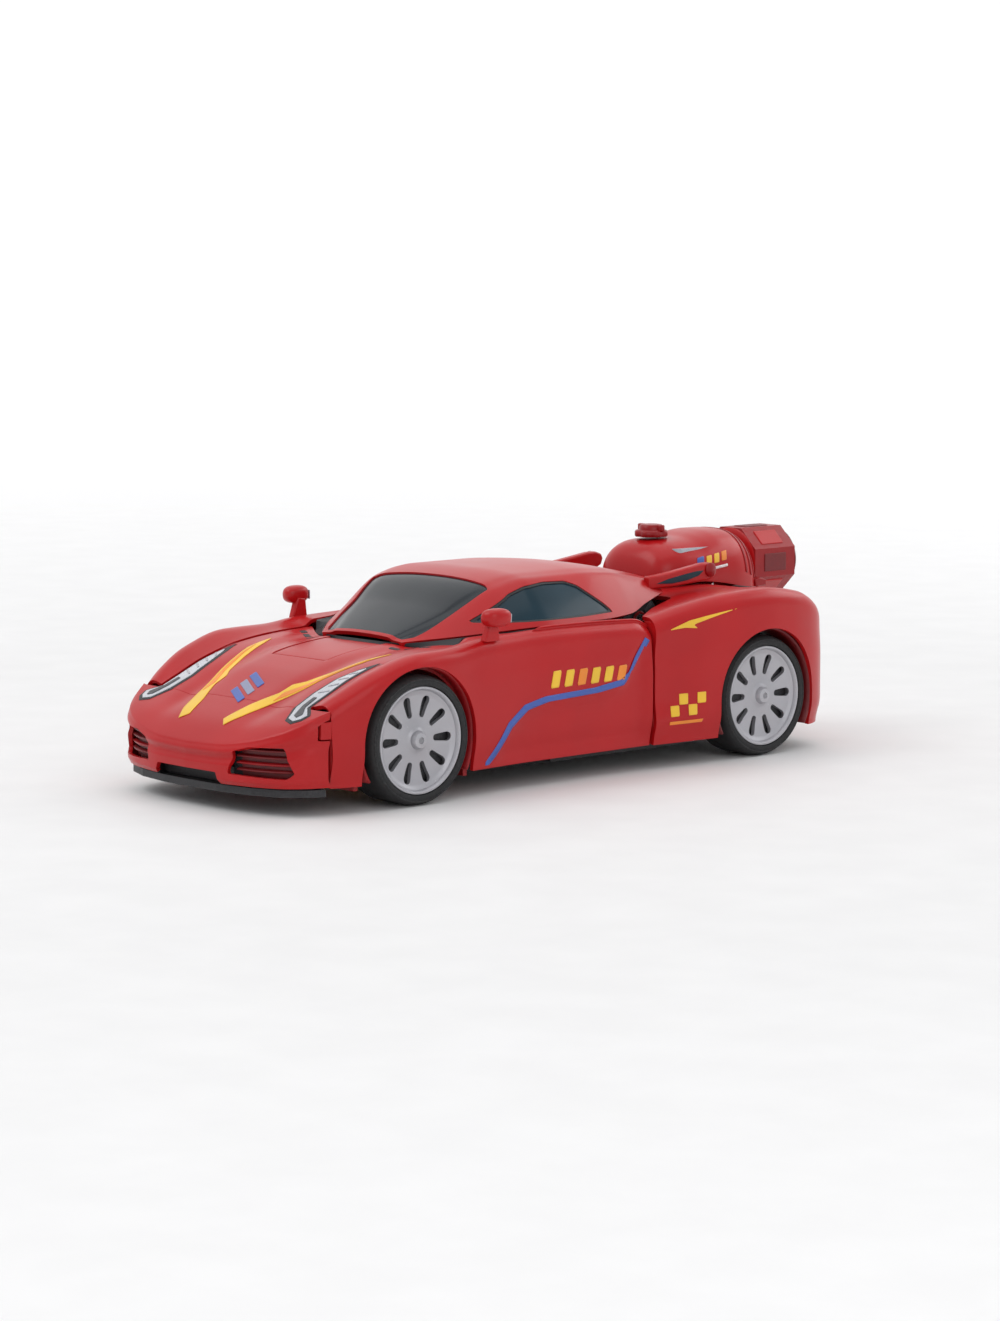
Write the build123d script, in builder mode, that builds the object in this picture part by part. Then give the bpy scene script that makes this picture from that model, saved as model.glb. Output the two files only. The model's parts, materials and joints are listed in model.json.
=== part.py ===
"""Transforming toy sports car: rear drive chassis, lifting robot torso, hood, side panels, canopy.

Frame: X to the car's left, -Y to the front of the car, +Z up, tyres on Z = 0.
Lengths along the car are given as F, millimetres forward of the rear axle; Y = ORIGIN_F - F.
Side points are (F, Z), plan points are (X, F).
The model stands in car mode, every joint at zero.
"""
from build123d import *
import os
from math import cos, sin, pi, radians

os.makedirs("parts", exist_ok=True)

CUT = Mode.SUBTRACT
TRIM = Mode.INTERSECT
SIDES = ("left", "right")

# ---------------------------------------------------------------- driving dimensions (mm)
ORIGIN_F = 82.0            # origin, forward of the rear axle
WHEELBASE = 168.0
WHEEL_R = 22.0             # tyre radius, and axle height
REAR_AXLE = (0, WHEEL_R)
FRONT_AXLE = (WHEELBASE, WHEEL_R)
RIM_R = 18.2
TYRE_W = 17.5
WHEEL_IN = 36.5            # inboard face of the tyres
ARCH_R = 24.8              # wheel arch opening
SKIN = 2.2                 # moulded wall
FLOOR_Z, FLOOR_T = 6.5, 2.5
FLOOR_TOP = FLOOR_Z + FLOOR_T
BODY_Z = 9.0               # lower edge of the body shells
RUN_FIT = 0.06             # radial play of most turning joints

# lifting linkage: torso and lift arms are parallel and equally long between pivots
LIFT_SPAN = (123.0, -9.0)
ANKLE = (88.0, 22.0)       # torso to chassis
NECK = (ANKLE[0] + LIFT_SPAN[0], ANKLE[1] + LIFT_SPAN[1])
LIFT_PIVOT = (42.0, 51.0)  # lift arms to chassis
ARM_TIP = (LIFT_PIVOT[0] + LIFT_SPAN[0], LIFT_PIVOT[1] + LIFT_SPAN[1])
ANKLE_PIN_R = 2.0
SHAFT_R = 2.5

CANOPY_HINGE = (6.0, 67.0)
CANOPY_PIN_R = 1.5
HEAD_HINGE = (165.0, 43.0)
HEAD_PIN_R = 1.5
HEAD_CENTRE = (145.0, 34.0)
HELMET_R = 11.3
HELMET_IN_R = 9.5
FACE_R = 9.4

# side panel links: pivots at one distance from the centre plane, one pivot spacing
LINK_X = 30.0
LINK_LENGTH = 54.0
FRONT_LINK_F, REAR_LINK_F = 203.0, 178.0    # hood pivots
LINK_T = 4.0
HOOD_LINK_PIN_R, PANEL_LINK_PIN_R = 2.0, 1.9
LINK_FIT = 0.08

CASTER = (132.0, 5.2)      # foot caster axle
CASTER_R = 4.6
CASTER_W = 4.8
CASTER_PIN_R = 1.0

NOZZLE_Z = 65.0
NOZZLE_R = 14.0
OUTLET_R = 4.0
FILLER = (0, 5)            # filler neck, plan point

# gears; the angles are the line between shafts, measured from horizontal
LIFT_MOTOR = (31.0, 39.4)
LIFT_ANGLE = 46.5
LIFT_TEETH, LIFT_PINION_TEETH, LIFT_MODULE = 30, 10, 0.8
DRIVE_ANGLE = 40
AXLE_TEETH, DRIVE_PINION_TEETH, DRIVE_MODULE = 24, 8, 0.6
DRIVE_DISTANCE = DRIVE_MODULE * (AXLE_TEETH + DRIVE_PINION_TEETH) / 2
DRIVE_MOTOR = (DRIVE_DISTANCE * cos(radians(DRIVE_ANGLE)),
               WHEEL_R + DRIVE_DISTANCE * sin(radians(DRIVE_ANGLE)))
DRIVE_MOTOR_R = 7.0
LIFT_MOTOR_R = 8.0
MOTOR_SHAFT_R = 0.8
PINION_BORE_R = 0.84
AXLE_R = 1.5
STUB_R = 2.0               # front stub axle

BATTERY_SPOT = (0, -18)    # centre of the battery opening, plan point
BATTERY_OPENING = (42, 22)
SCREW_SPOTS = [(27, 48), (-27, 48), (37, 90), (-37, 90), (27, -29), (-27, -29)]

# ---------------------------------------------------------------- body lines
# left half plan outlines (X, F)
DOOR_PLAN = [(52.0, 56.2), (51.8, 80), (51.8, 110), (53.5, 140), (55.5, 158), (56.0, 170),
             (55.0, 186), (52.5, 198), (50.0, 205)]
NOSE_PLAN = [(50.0, 205.2), (47.0, 212), (41.0, 218.5), (30.0, 223), (15.0, 225.5), (0.0, 226)]
NOSE_INNER = [(47.4, 205.2), (44.8, 210.6), (39.4, 216.2), (29.2, 220.5), (14.6, 222.9),
              (0.0, 223.4)]
REAR_PLAN = [(53.0, 55.4), (55.5, 25), (57.0, 0), (55.0, -22), (50.0, -34), (42.0, -40),
             (25.0, -43), (0.0, -44)]
REAR_INNER = [(50.8, 55.4), (53.3, 25), (54.8, 0), (52.9, -21.4), (48.2, -32.6), (40.9, -37.9),
              (24.7, -40.8), (0.0, -41.8)]
# top lines in side view (F, Z)
PANEL_TOP = [(56.2, 51), (62, 53.6), (100, 54.4), (136, 53.4), (150, 51.6), (168, 51),
             (185, 46.4), (198, 40), (205, 35.6)]
HOOD_TOP = [(128, 51), (152, 49.8), (168, 48), (185, 43.5), (198, 38), (208, 33.5),
            (218, 28.5), (227, 21)]
REAR_TOP = [(55.4, 54.6), (40, 57.8), (20, 60.6), (0, 61.5), (-20, 59), (-34, 54), (-45, 46)]
# mist generator housing in side view (F, Z)
TURBINE_TOP = [(18, 64), (14, 74), (8, 76.5), (-4, 77), (-12, 79), (-24, 79), (-33, 76),
               (-37.5, 70)]
TURBINE_FOOT = [(18, 61.3), (0, 62), (-20, 59.6), (-34, 54.6), (-37.5, 52.2)]
TURBINE_INSIDE = [(15.4, 60), (15.4, 66), (12.2, 72.2), (7, 74.2), (-4, 74.8), (-12, 76.6),
                  (-23.4, 76.6), (-31.6, 74), (-35.2, 69), (-35.2, 50), (0, 50)]
# canopy sections: F, sill half width, sill Z, roof half width, roof edge Z, centre Z
CANOPY = [
    (30, 31, 60.5, 26, 64.8, 66),
    (45, 37, 58, 29, 68, 69.4),
    (58, 42.5, 55.6, 31.5, 70, 71.6),
    (75, 45.4, 55, 32.5, 71, 72.6),
    (100, 46.4, 55, 32.5, 71, 72.6),
    (113, 44.6, 54.6, 31.5, 68.8, 70.6),
    (130, 36.5, 53, 27, 59.6, 61.6),
    (148, 21, 50.6, 17, 51.4, 52.2),
]


# ---------------------------------------------------------------- points and planes
def side(points):
    """Side points as sketch coordinates on Plane.YZ."""
    return [(ORIGIN_F - f, z) for f, z in points]


def plan(points):
    """Plan points as sketch coordinates on Plane.XY."""
    return [(x, ORIGIN_F - f) for x, f in points]


def cross_plane(f):
    """Plane across the car at F, facing forward; its coordinates are X and Z."""
    return Plane.XZ.offset(-(ORIGIN_F - f))


def lower(points, drop):
    return [(f, z - drop) for f, z in points]


def mirrored(half):
    """A half outline followed by its reflection in X = 0."""
    return half + [(-x, y) for x, y in reversed(half) if x != 0]


def both_sides(x, width):
    """Lower X bounds of a slab starting at x and of its mirror image."""
    return (x, -x - width)


# ---------------------------------------------------------------- extrusions
# Each of these works on the part that is being built where it is called.
def slab(plane, points, depth, discs=(), mode=Mode.ADD):
    """Extrude a closed outline joined with discs, given as (centre, radius)."""
    with BuildSketch(plane) as outline:
        with BuildLine():
            Polyline(*points, close=True)
        make_face()
        for centre, radius in discs:
            with Locations(centre):
                Circle(radius)
    extrude(outline.sketch, amount=depth, dir=plane.z_dir, mode=mode)


def rounds(plane, centres, radius, depth, mode=Mode.ADD):
    with BuildSketch(plane) as outline:
        with Locations(*centres):
            Circle(radius)
    extrude(outline.sketch, amount=depth, dir=plane.z_dir, mode=mode)


def boxes(plane, centres, width, height, depth, corner=0, mode=Mode.ADD):
    with BuildSketch(plane) as outline:
        with Locations(*centres):
            if corner:
                RectangleRounded(width, height, corner)
            else:
                Rectangle(width, height)
    extrude(outline.sketch, amount=depth, dir=plane.z_dir, mode=mode)


def side_slab(x, width, points, *discs, mode=Mode.ADD):
    """Side outline, optionally with (side point, radius) discs, extruded from x to the left."""
    discs = [(side([centre])[0], radius) for centre, radius in discs]
    slab(Plane.YZ.offset(x), side(points), width, discs, mode)


def side_discs(x, width, radius, *centres, mode=Mode.ADD):
    rounds(Plane.YZ.offset(x), side(centres), radius, width, mode)


def side_boxes(x, width, length, height, *centres, corner=0, mode=Mode.ADD):
    boxes(Plane.YZ.offset(x), side(centres), length, height, width, corner, mode)


def paired_slabs(x, width, points, *discs, mode=Mode.ADD):
    for start in both_sides(x, width):
        side_slab(start, width, points, *discs, mode=mode)


def paired_discs(x, width, radius, *centres, mode=Mode.ADD):
    for start in both_sides(x, width):
        side_discs(start, width, radius, *centres, mode=mode)


def side_bore(half_width, radius, centre):
    """Hole across the car, symmetric about the centre plane."""
    side_discs(-half_width, 2 * half_width, radius, centre, mode=CUT)


def side_arch(x, width, axle_f, radius, base_z, base_height, mode=Mode.ADD):
    """Wheel disc at axle height joined with an equally long box centred on base_z."""
    with BuildSketch(Plane.YZ.offset(x)) as outline:
        with Locations(*side([(axle_f, WHEEL_R)])):
            Circle(radius)
        with Locations(*side([(axle_f, base_z)])):
            Rectangle(2 * radius, base_height)
    extrude(outline.sketch, amount=width, dir=(1, 0, 0), mode=mode)


def skin_strip(x, width, line):
    """Moulded skin hanging under a top line."""
    side_slab(x, width, line + lower(line, SKIN)[::-1])


def plan_slab(z, height, points, mode=Mode.ADD):
    slab(Plane.XY.offset(z), plan(points), height, mode=mode)


def plan_discs(z, height, radius, *centres, mode=Mode.ADD):
    rounds(Plane.XY.offset(z), plan(centres), radius, height, mode)


def plan_boxes(z, height, width, length, *centres, corner=0, mode=Mode.ADD):
    boxes(Plane.XY.offset(z), plan(centres), width, length, height, corner, mode)


def cross_disc(f, length, radius, mode=Mode.ADD):
    """Round on the nozzle axis, running forward from F, or rearward for a negative length."""
    rounds(cross_plane(f), [(0, NOZZLE_Z)], radius, length, mode)


# ---------------------------------------------------------------- export
def save(part, name):
    part.label = name
    export_step(part, f"parts/{name}.step")


def save_mirrored(source, name):
    with BuildPart() as other:
        mirror(source, about=Plane.YZ)
    save(other.part, name)


# ================================================================ rear chassis (root)
def chassis_tub():
    with BuildPart() as tub:
        plan_slab(FLOOR_Z, FLOOR_T, mirrored([(33.5, -34), (33.5, 26.5), (43, 26.5), (43, 98)]))
        # longitudinal walls that carry the rear axles
        paired_slabs(31.0, 2.5, [(-34, 9), (58, 9), (58, 20), (48, 34), (-34, 34)])
        # cross walls
        for f in (-32.0, 58.0):
            boxes(cross_plane(f), [(0, 14)], 67, 10, 2)
        # uprights for the lift shaft and the lift motor
        paired_slabs(14.0, 3, [(34, 9), (54, 9), (48, 52), (46, 57), (38, 57), (36, 52)])
        # ankle lugs
        paired_slabs(25.5, 4, [(78, 9), (98, 9), (94, 22), (82, 22)], (ANKLE, 6))
        # motor rests
        for x in both_sides(5.0, 3):
            side_boxes(x, 3, 12, 10, (DRIVE_MOTOR[0], 14))
        # screw bosses
        plan_discs(FLOOR_TOP, 9, 3.2, *SCREW_SPOTS)
        # shaft, pin, axle and motor bores
        side_bore(50, SHAFT_R + RUN_FIT, LIFT_PIVOT)
        side_bore(50, ANKLE_PIN_R + 0.04, ANKLE)
        side_bore(50, AXLE_R + RUN_FIT, REAR_AXLE)
        side_bore(50, DRIVE_MOTOR_R + 0.1, DRIVE_MOTOR)
        # screw holes with head pockets
        plan_discs(6, 14, 1.2, *SCREW_SPOTS, mode=CUT)
        plan_discs(6, 2, 2.5, *SCREW_SPOTS, mode=CUT)
        # battery opening and switch slot
        plan_boxes(6, 4, *BATTERY_OPENING, BATTERY_SPOT, corner=2, mode=CUT)
        plan_boxes(6, 4, 9.4, 4.4, (1.5, 66), mode=CUT)
    return tub.part


def battery_door():
    width, length = (size - 0.6 for size in BATTERY_OPENING)
    x, f = BATTERY_SPOT
    with BuildPart() as door:
        plan_boxes(FLOOR_Z, 1.6, width, length, BATTERY_SPOT, corner=1.8)
        # grip grooves
        grooves = [(x, f + step) for step in (-6, -3, 0, 3, 6)]
        plan_boxes(FLOOR_Z, 0.5, 26, 1.0, *grooves, mode=CUT)
    return door.part


def battery_pack():
    rear_f, length, cell_z, pitch = -29, 22, 17.2, 15.2
    with BuildPart() as pack:
        rounds(cross_plane(rear_f), [(x, cell_z) for x in (-pitch, 0.0, pitch)], 7.2, length)
        boxes(cross_plane(rear_f), [(0, cell_z)], 32, 9, length)
    return pack.part


def circuit_board():
    board_z, board_t = 40, 1.6
    top_z, component_h = board_z + board_t, 3
    with BuildPart() as board:
        plan_boxes(board_z, board_t, 50, 46, (0, -8))
        plan_boxes(top_z, component_h, 12, 12, (-12, -14))
        plan_boxes(top_z, component_h, 10, 8, (12, -20))
        plan_boxes(top_z, component_h, 16, 6, (10, 2))
        plan_discs(top_z, component_h, 3, (-16, 6))
    return board.part


def can_motor(centre, radius, can, shaft):
    """Can motor lying across the car; can and shaft are (low X, high X)."""
    with BuildPart() as motor:
        side_discs(can[0], can[1] - can[0], radius, centre)
        chamfer(motor.edges().filter_by(GeomType.CIRCLE), 0.6)
        side_discs(shaft[0], shaft[1] - shaft[0], MOTOR_SHAFT_R, centre)
    return motor.part


def drive_motor_left():
    return can_motor(DRIVE_MOTOR, DRIVE_MOTOR_R, can=(3.0, 22.0), shaft=(22.0, 28.0))


def drive_motor_right():
    return can_motor(DRIVE_MOTOR, DRIVE_MOTOR_R, can=(-22.0, -3.0), shaft=(-28.0, -22.0))


def lift_motor():
    return can_motor(LIFT_MOTOR, LIFT_MOTOR_R, can=(-13.5, -3.0), shaft=(-3.0, 5.0))


def ankle_pin():
    with BuildPart() as pin:
        side_discs(-31, 62, ANKLE_PIN_R, ANKLE)
    return pin.part


def chassis_screws():
    head_z, head_h = 6.6, 1.3
    slot_length, slot_w, slot_depth = 2.6, 0.7, 0.7
    with BuildPart() as screws:
        plan_discs(head_z, head_h, 2.3, *SCREW_SPOTS)
        plan_discs(head_z + head_h, 8, 1.15, *SCREW_SPOTS)
        # cross slots
        plan_boxes(head_z, slot_depth, slot_length, slot_w, *SCREW_SPOTS, mode=CUT)
        plan_boxes(head_z, slot_depth, slot_w, slot_length, *SCREW_SPOTS, mode=CUT)
    return screws.part


def foot_frame():
    """Robot feet: a tongue under the legs with two toe boxes and caster forks."""
    fork = [(125, 12), (130, 11.6), (136, 7.5), (136, 3.4), (130, 2.2), (125, 4)]
    with BuildPart() as feet:
        plan_slab(4, 2.4, mirrored([(30, 84), (30, 112), (28, 126), (11, 126), (8, 110)]))
        paired_slabs(11.0, 17, [(100, 6.4), (104, 13), (108, 14.5), (124, 14.5), (126, 12),
                                (126, 6.4)])
        for x in (15.0, 22.8):
            paired_slabs(x, 2.2, fork)
        side_bore(30, CASTER_PIN_R + RUN_FIT, CASTER)
    return feet.part


def caster_wheel(x):
    pin_overhang = 2.4
    with BuildPart() as caster:
        side_discs(x, CASTER_W, CASTER_R, CASTER)
        fillet(caster.edges().filter_by(GeomType.CIRCLE), 0.9)
        side_discs(x - pin_overhang, CASTER_W + 2 * pin_overhang, CASTER_PIN_R, CASTER)
    return caster.part


# ---------------------------------------------------------------- rear outer shell
def rear_body_shell():
    """Left half built and mirrored, then the deck slots."""
    with BuildPart() as shell:
        plan_slab(BODY_Z, 53, REAR_PLAN + REAR_INNER[::-1])
        # deck
        skin_strip(0, 57.5, REAR_TOP)
        # trim to plan and to the top line
        plan_slab(0, 80, [(0, 55.4)] + REAR_PLAN, mode=TRIM)
        side_slab(0, 60, [(55.4, BODY_Z)] + REAR_TOP + [(-45, BODY_Z)], mode=TRIM)
        # roof opening over the lift arms
        plan_slab(40, 40, [(-1, 28), (33.5, 28), (39.6, 45), (45.6, 56), (45.6, 60), (-1, 60)],
                  mode=CUT)
        # recessed front flank with its step wall
        side_slab(46, 2.4, [(53, 9), (100, 9), (96, 30), (88, 50), (53, 50)])
        side_slab(46, 6.4, [(53, 9), (55.4, 9), (55.4, 54), (53, 54)])
        # wheel arch
        side_arch(35, 30, 0, ARCH_R, 8, 28, mode=CUT)
        # tail lamp window
        plan_slab(35.8, 5.4, [(23.8, -34.5), (38.2, -34.5), (38.2, -46), (23.8, -46)], mode=CUT)
        # diffuser mouth
        plan_slab(8, 8.4, [(-1, -36), (22, -36), (19.6, -46), (-1, -46)], mode=CUT)
        # canopy hinge lug and pin
        side_slab(24, 3.4, [(-1, 60), (13, 60), (9, 67), (3, 67)], (CANOPY_HINGE, 3.6))
        side_discs(27, 5.4, CANOPY_PIN_R, CANOPY_HINGE)
        mirror(about=Plane.YZ)
        # intake slots in the deck
        with BuildSketch(Plane.XY.offset(40)):
            with Locations(*plan([(x, f) for f in (-18, -24, -30) for x in (30, -30)])):
                SlotOverall(14, 2.2)
        extrude(amount=40, mode=CUT)
    return shell.part


def rear_diffuser():
    with BuildPart() as diffuser:
        plan_slab(BODY_Z, 2.5, mirrored([(32, -35), (38, -38.2), (24, -40.6)]))
        # fins
        plan_boxes(BODY_Z, 9, 1.6, 4, *[(x, -38.2) for x in (-20, -10, 0, 10, 20)])
    return diffuser.part


def tail_lamps():
    with BuildPart() as lamps:
        # flange behind the wall
        plan_slab(34.6, 7.8, [(22.8, -40.55), (24.7, -40.55), (39.2, -37.95), (39.2, -36.4),
                              (24.7, -39.0), (22.8, -39.0)])
        # lens in the window
        plan_slab(36, 5, [(24, -42.1), (38, -39.8), (38, -36.8), (24, -39.2)])
        mirror(about=Plane.YZ)
    return lamps.part


# ---------------------------------------------------------------- mist generator on the deck
def turbine_housing():
    half_w, inner_half_w = 20, 17.8
    with BuildPart() as housing:
        side_slab(-half_w, 2 * half_w, TURBINE_TOP + TURBINE_FOOT[::-1])
        # upper edges of the two side faces
        fillet(housing.edges().filter_by(
            lambda e: abs(e.center().X) > half_w - 0.25 and e.center().Z > 66), 2.5)
        side_slab(-inner_half_w, 2 * inner_half_w, TURBINE_INSIDE, mode=CUT)
        # filler neck bore and mist outlet
        plan_discs(70, 12, 3.6, FILLER, mode=CUT)
        cross_disc(-30, -10, OUTLET_R, mode=CUT)
    return housing.part


def mist_nozzle():
    with BuildPart() as nozzle:
        with BuildSketch(cross_plane(-38)):
            with Locations((0, NOZZLE_Z)):
                RegularPolygon(NOZZLE_R, 8, rotation=22.5)
        extrude(amount=-24)
        # rear rim
        chamfer(nozzle.faces().sort_by(Axis.Y)[-1].edges(), 2.0)
        cross_disc(-42, -30, 10.6, mode=CUT)
        cross_disc(-37, -10, OUTLET_R, mode=CUT)
    return nozzle.part


def mist_fan():
    with BuildPart() as fan:
        cross_disc(-45, -6, 2.8)
        with BuildSketch(cross_plane(-46)):
            with Locations((0, NOZZLE_Z)):
                with PolarLocations(6.0, 6):
                    Rectangle(7.4, 1.8)
        extrude(amount=-4)
    return fan.part


def water_tank():
    size, wall, spot = 32, 1.2, (0, -8)
    inner = size - 2 * wall
    with BuildPart() as tank:
        plan_boxes(63, 10.5, size, size, spot, corner=3)
        plan_boxes(63 + wall, 8.1, inner, inner, spot, corner=2, mode=CUT)
    return tank.part


def filler_cap():
    flange_z, flange_h, plug_h = 77.1, 2.2, 2.8
    flange_top = flange_z + flange_h
    with BuildPart() as cap:
        plan_discs(flange_z, flange_h, 6.2, FILLER)
        plan_discs(flange_top, 1.8, 4.4, FILLER)
        # finger bar
        plan_boxes(flange_top, 2.6, 13.4, 3.2, FILLER)
        # plug; its lower end is at 74.4
        plan_discs(74.4, plug_h, 3.5, FILLER)
    return cap.part


def power_switch():
    spot = (0, 66)
    with BuildPart() as switch:
        plan_boxes(5.6, 3.4, 6, 4, spot)
        plan_boxes(9.1, 1.6, 10, 8, spot)
        # neck between the knob and the base
        plan_boxes(8.9, 0.4, 6, 4, spot)
    return switch.part


# ================================================================ wheels
def tyre(f, x):
    with BuildPart() as ring:
        with BuildSketch(Plane.YZ.offset(x)):
            with Locations(*side([(f, WHEEL_R)])):
                Circle(WHEEL_R)
                Circle(RIM_R + 0.1, mode=CUT)
        extrude(amount=TYRE_W)
        fillet(ring.edges().filter_by(GeomType.CIRCLE).group_by(SortBy.RADIUS)[-1], 2.4)
    return ring.part


def rim(f, x, bore, face_offset):
    """Ten-slot wheel; face_offset is the slotted face's distance from x."""
    centre = (f, WHEEL_R)
    with BuildPart() as wheel:
        with BuildSketch(Plane.YZ.offset(x + 0.4)):
            with Locations(*side([centre])):
                Circle(RIM_R)
                Circle(RIM_R - 1.8, mode=CUT)
        extrude(amount=TYRE_W - 0.8)
        with BuildSketch(Plane.YZ.offset(x + face_offset)):
            with Locations(*side([centre])):
                Circle(RIM_R - 1.0)
                with PolarLocations(11.8, 10):
                    SlotOverall(5.6, 2.9, mode=CUT)
        extrude(amount=3)
        # hub
        side_discs(x + 3, TYRE_W - 5.2, 4.2, centre)
        side_discs(x - 1, TYRE_W + 2, bore, centre, mode=CUT)
    return wheel.part


def teeth(count, module, centre, phase):
    """Outline of a spur gear about a side point, with short, slim straight-sided teeth."""
    pitch_r = count * module / 2
    root_r, tip_r = pitch_r - 0.95 * module, pitch_r + 0.55 * module
    half_tooth = 0.36 * pi / count
    [(cx, cy)] = side([centre])
    points = []
    for k in range(count):
        middle = phase + 2 * pi * k / count
        for radius, turn in ((root_r, -1.5), (tip_r, -0.8), (tip_r, 0.8), (root_r, 1.5)):
            angle = middle + turn * half_tooth
            points.append((cx + radius * cos(angle), cy + radius * sin(angle)))
    return points


def spur_gear(x, width, outline, centre, bore):
    with BuildPart() as gear:
        with BuildSketch(Plane.YZ.offset(x)):
            with BuildLine():
                Polyline(*outline, close=True)
            make_face()
            with Locations(*side([centre])):
                Circle(bore, mode=CUT)
        extrude(amount=width)
    return gear.part


def rear_axle_left():
    # phase: a tooth gap faces the pinion
    phase = radians(180 - DRIVE_ANGLE) + pi / AXLE_TEETH
    with BuildPart() as axle:
        side_discs(22.6, 29.4, AXLE_R, REAR_AXLE)
        slab(Plane.YZ.offset(24.4), teeth(AXLE_TEETH, DRIVE_MODULE, REAR_AXLE, phase), 3.2)
    return axle.part


def drive_pinion_left():
    outline = teeth(DRIVE_PINION_TEETH, DRIVE_MODULE, DRIVE_MOTOR, radians(-DRIVE_ANGLE))
    return spur_gear(24.6, 2.8, outline, DRIVE_MOTOR, PINION_BORE_R)


# ================================================================ robot torso
def torso_frame():
    half_w = 24.0
    groove_depth = 0.8
    with BuildPart() as torso:
        # spine and legs, lying forward of the ankle
        side_slab(-half_w, 2 * half_w, [
            (88, 17), (140, 17), (143, 11.5), (197, 11.5), (197, 24), (188, 28), (150, 30),
            (144, 33), (112, 33), (98, 28), (88, 28)])
        # ankle barrels
        paired_discs(12.0, 12, 5.8, ANKLE)
        # neck tongue
        side_slab(-16.5, 33, [(195, 11.5), (207, 8.6), (211, 8.6), (211, 17.6), (206, 20),
                              (195, 22)], (NECK, 4.6))
        # shallow panel in the back, between the shoulders
        plan_boxes(24, 12, 20, 22, (0, 176), corner=3, mode=CUT)
        # gap between the legs
        side_slab(-5, 10, [(80, 10), (146, 10), (146, 21), (128, 24), (100, 40), (80, 40)],
                  mode=CUT)
        # ankle area: only the barrels and the two shins reach down
        side_slab(-12, 24, [(80, 14), (97, 14), (97, 40), (80, 40)], mode=CUT)
        side_bore(30, ANKLE_PIN_R + RUN_FIT, ANKLE)
        # neck stubs
        paired_discs(16.5, 6, 2.0, NECK)
        # pocket for the folded head
        side_slab(-13, 26, [(127, 22.2), (158, 22.2), (162, 29.4), (162, 40), (127, 40)],
                  mode=CUT)
        # side panelling grooves
        grooves = [(f, 25) for f in (118, 136, 160, 176)]
        for x in both_sides(half_w - groove_depth, groove_depth):
            side_boxes(x, groove_depth, 1.2, 9, *grooves, mode=CUT)
    return torso.part


def shin_plates():
    with BuildPart() as plates:
        for x in both_sides(8.0, 14):
            plan_slab(15.4, 1.6, [
                (x, 93.5), (x + 14, 93.5), (x + 14, 107), (x + 9.4, 99.5), (x + 7, 97.5),
                (x + 4.6, 99.5), (x, 107)])
    return plates.part


def knee_pads():
    with BuildPart() as pads:
        for x in both_sides(10.0, 10):
            with BuildSketch(Plane.XY.offset(14.9)):
                with BuildLine():
                    Polyline(*plan([(x, 121), (x, 113), (x + 3, 108.4), (x + 7, 108.4),
                                    (x + 10, 113), (x + 10, 121)]), close=True)
                make_face()
            extrude(amount=2.1)
            chamfer(pads.faces().sort_by(Axis.Z)[0].edges(), 0.5)
    return pads.part


def thigh_plates():
    with BuildPart() as plates:
        side_slab(-24, 48, [(127, 17), (127, 15.2), (138.4, 15.2), (142, 9.8), (158.4, 9.8),
                            (158.4, 11.5), (143, 11.5), (140, 17)])
        # plan outline of each plate
        with BuildSketch(Plane.XY):
            for k in (1, -1):
                with BuildLine():
                    Polyline(*plan([(k * 12.5, 128.5), (k * 18, 128.5), (k * 20.5, 142),
                                    (k * 22, 152), (k * 20, 158), (k * 13.5, 158),
                                    (k * 12, 142)]), close=True)
                make_face()
        extrude(amount=30, mode=TRIM)
    return plates.part


def waist_belt():
    with BuildPart() as belt:
        plan_slab(8.9, 2.6, mirrored([
            (0, 166), (9, 167.5), (17, 174), (21, 181), (23.6, 177), (23, 168), (19, 161),
            (8, 158.6), (5.4, 150), (1.5, 131), (0, 129.5)]))
    return belt.part


def chest_plate():
    with BuildPart() as plate:
        plan_slab(8.9, 2.6, mirrored([(0, 168), (6.5, 169.6), (13, 180), (14.5, 196),
                                      (10, 203)]))
        # tapered recess in the underside
        plan_slab(8.9, 1.0, mirrored([(1.4, 172), (5, 190)]), mode=CUT)
        # clearance for the neck tongue
        side_slab(-30, 60, [(194.6, 11.6), (207, 8.5), (215, 8.4), (215, 20), (194.6, 20)],
                  mode=CUT)
    return plate.part


def side_arms():
    x, width, shoulder = 24.0, 2.4, (182, 16)
    with BuildPart() as arms:
        paired_slabs(x, width, [(182, 13), (194, 13), (197, 16.5), (194, 19), (182, 19)],
                     (shoulder, 4.2))
        paired_discs(x, width, 1.6, shoulder, mode=CUT)
    return arms.part


# ================================================================ rear lift arm
def lift_arms():
    x, width = 23.0, 3.5
    windows = ([(56, 47.6), (56, 53.4), (78, 51.6), (84, 45.6)],
               [(88, 46.6), (83, 51.2), (104, 49.6)])
    with BuildPart() as arms:
        paired_slabs(x, width, [(42, 57), (60, 54.4), (160, 46.4), (165, 46), (165, 38),
                                (160, 38.4), (60, 45.4), (42, 45)],
                     (LIFT_PIVOT, 7), (ARM_TIP, 4))
        # lightening windows between ribs
        for window in windows:
            paired_slabs(x, width, window, mode=CUT)
        # hub discs outside the arms
        paired_discs(x + width, 4, 9.4, LIFT_PIVOT)
        # cross bars
        side_boxes(-x, 2 * x, 5, 5, (112, 45.9), (60, 49.8))
        side_bore(40, SHAFT_R, LIFT_PIVOT)
        side_bore(40, 2.3, ARM_TIP)
    return arms.part


def lift_shaft():
    with BuildPart() as shaft:
        side_discs(-31.5, 63, SHAFT_R, LIFT_PIVOT)
    return shaft.part


def lift_gear():
    # phase: a tooth gap faces the pinion
    phase = radians(-LIFT_ANGLE) + pi / LIFT_TEETH
    outline = teeth(LIFT_TEETH, LIFT_MODULE, LIFT_PIVOT, phase)
    return spur_gear(0, 4, outline, LIFT_PIVOT, SHAFT_R)


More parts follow.
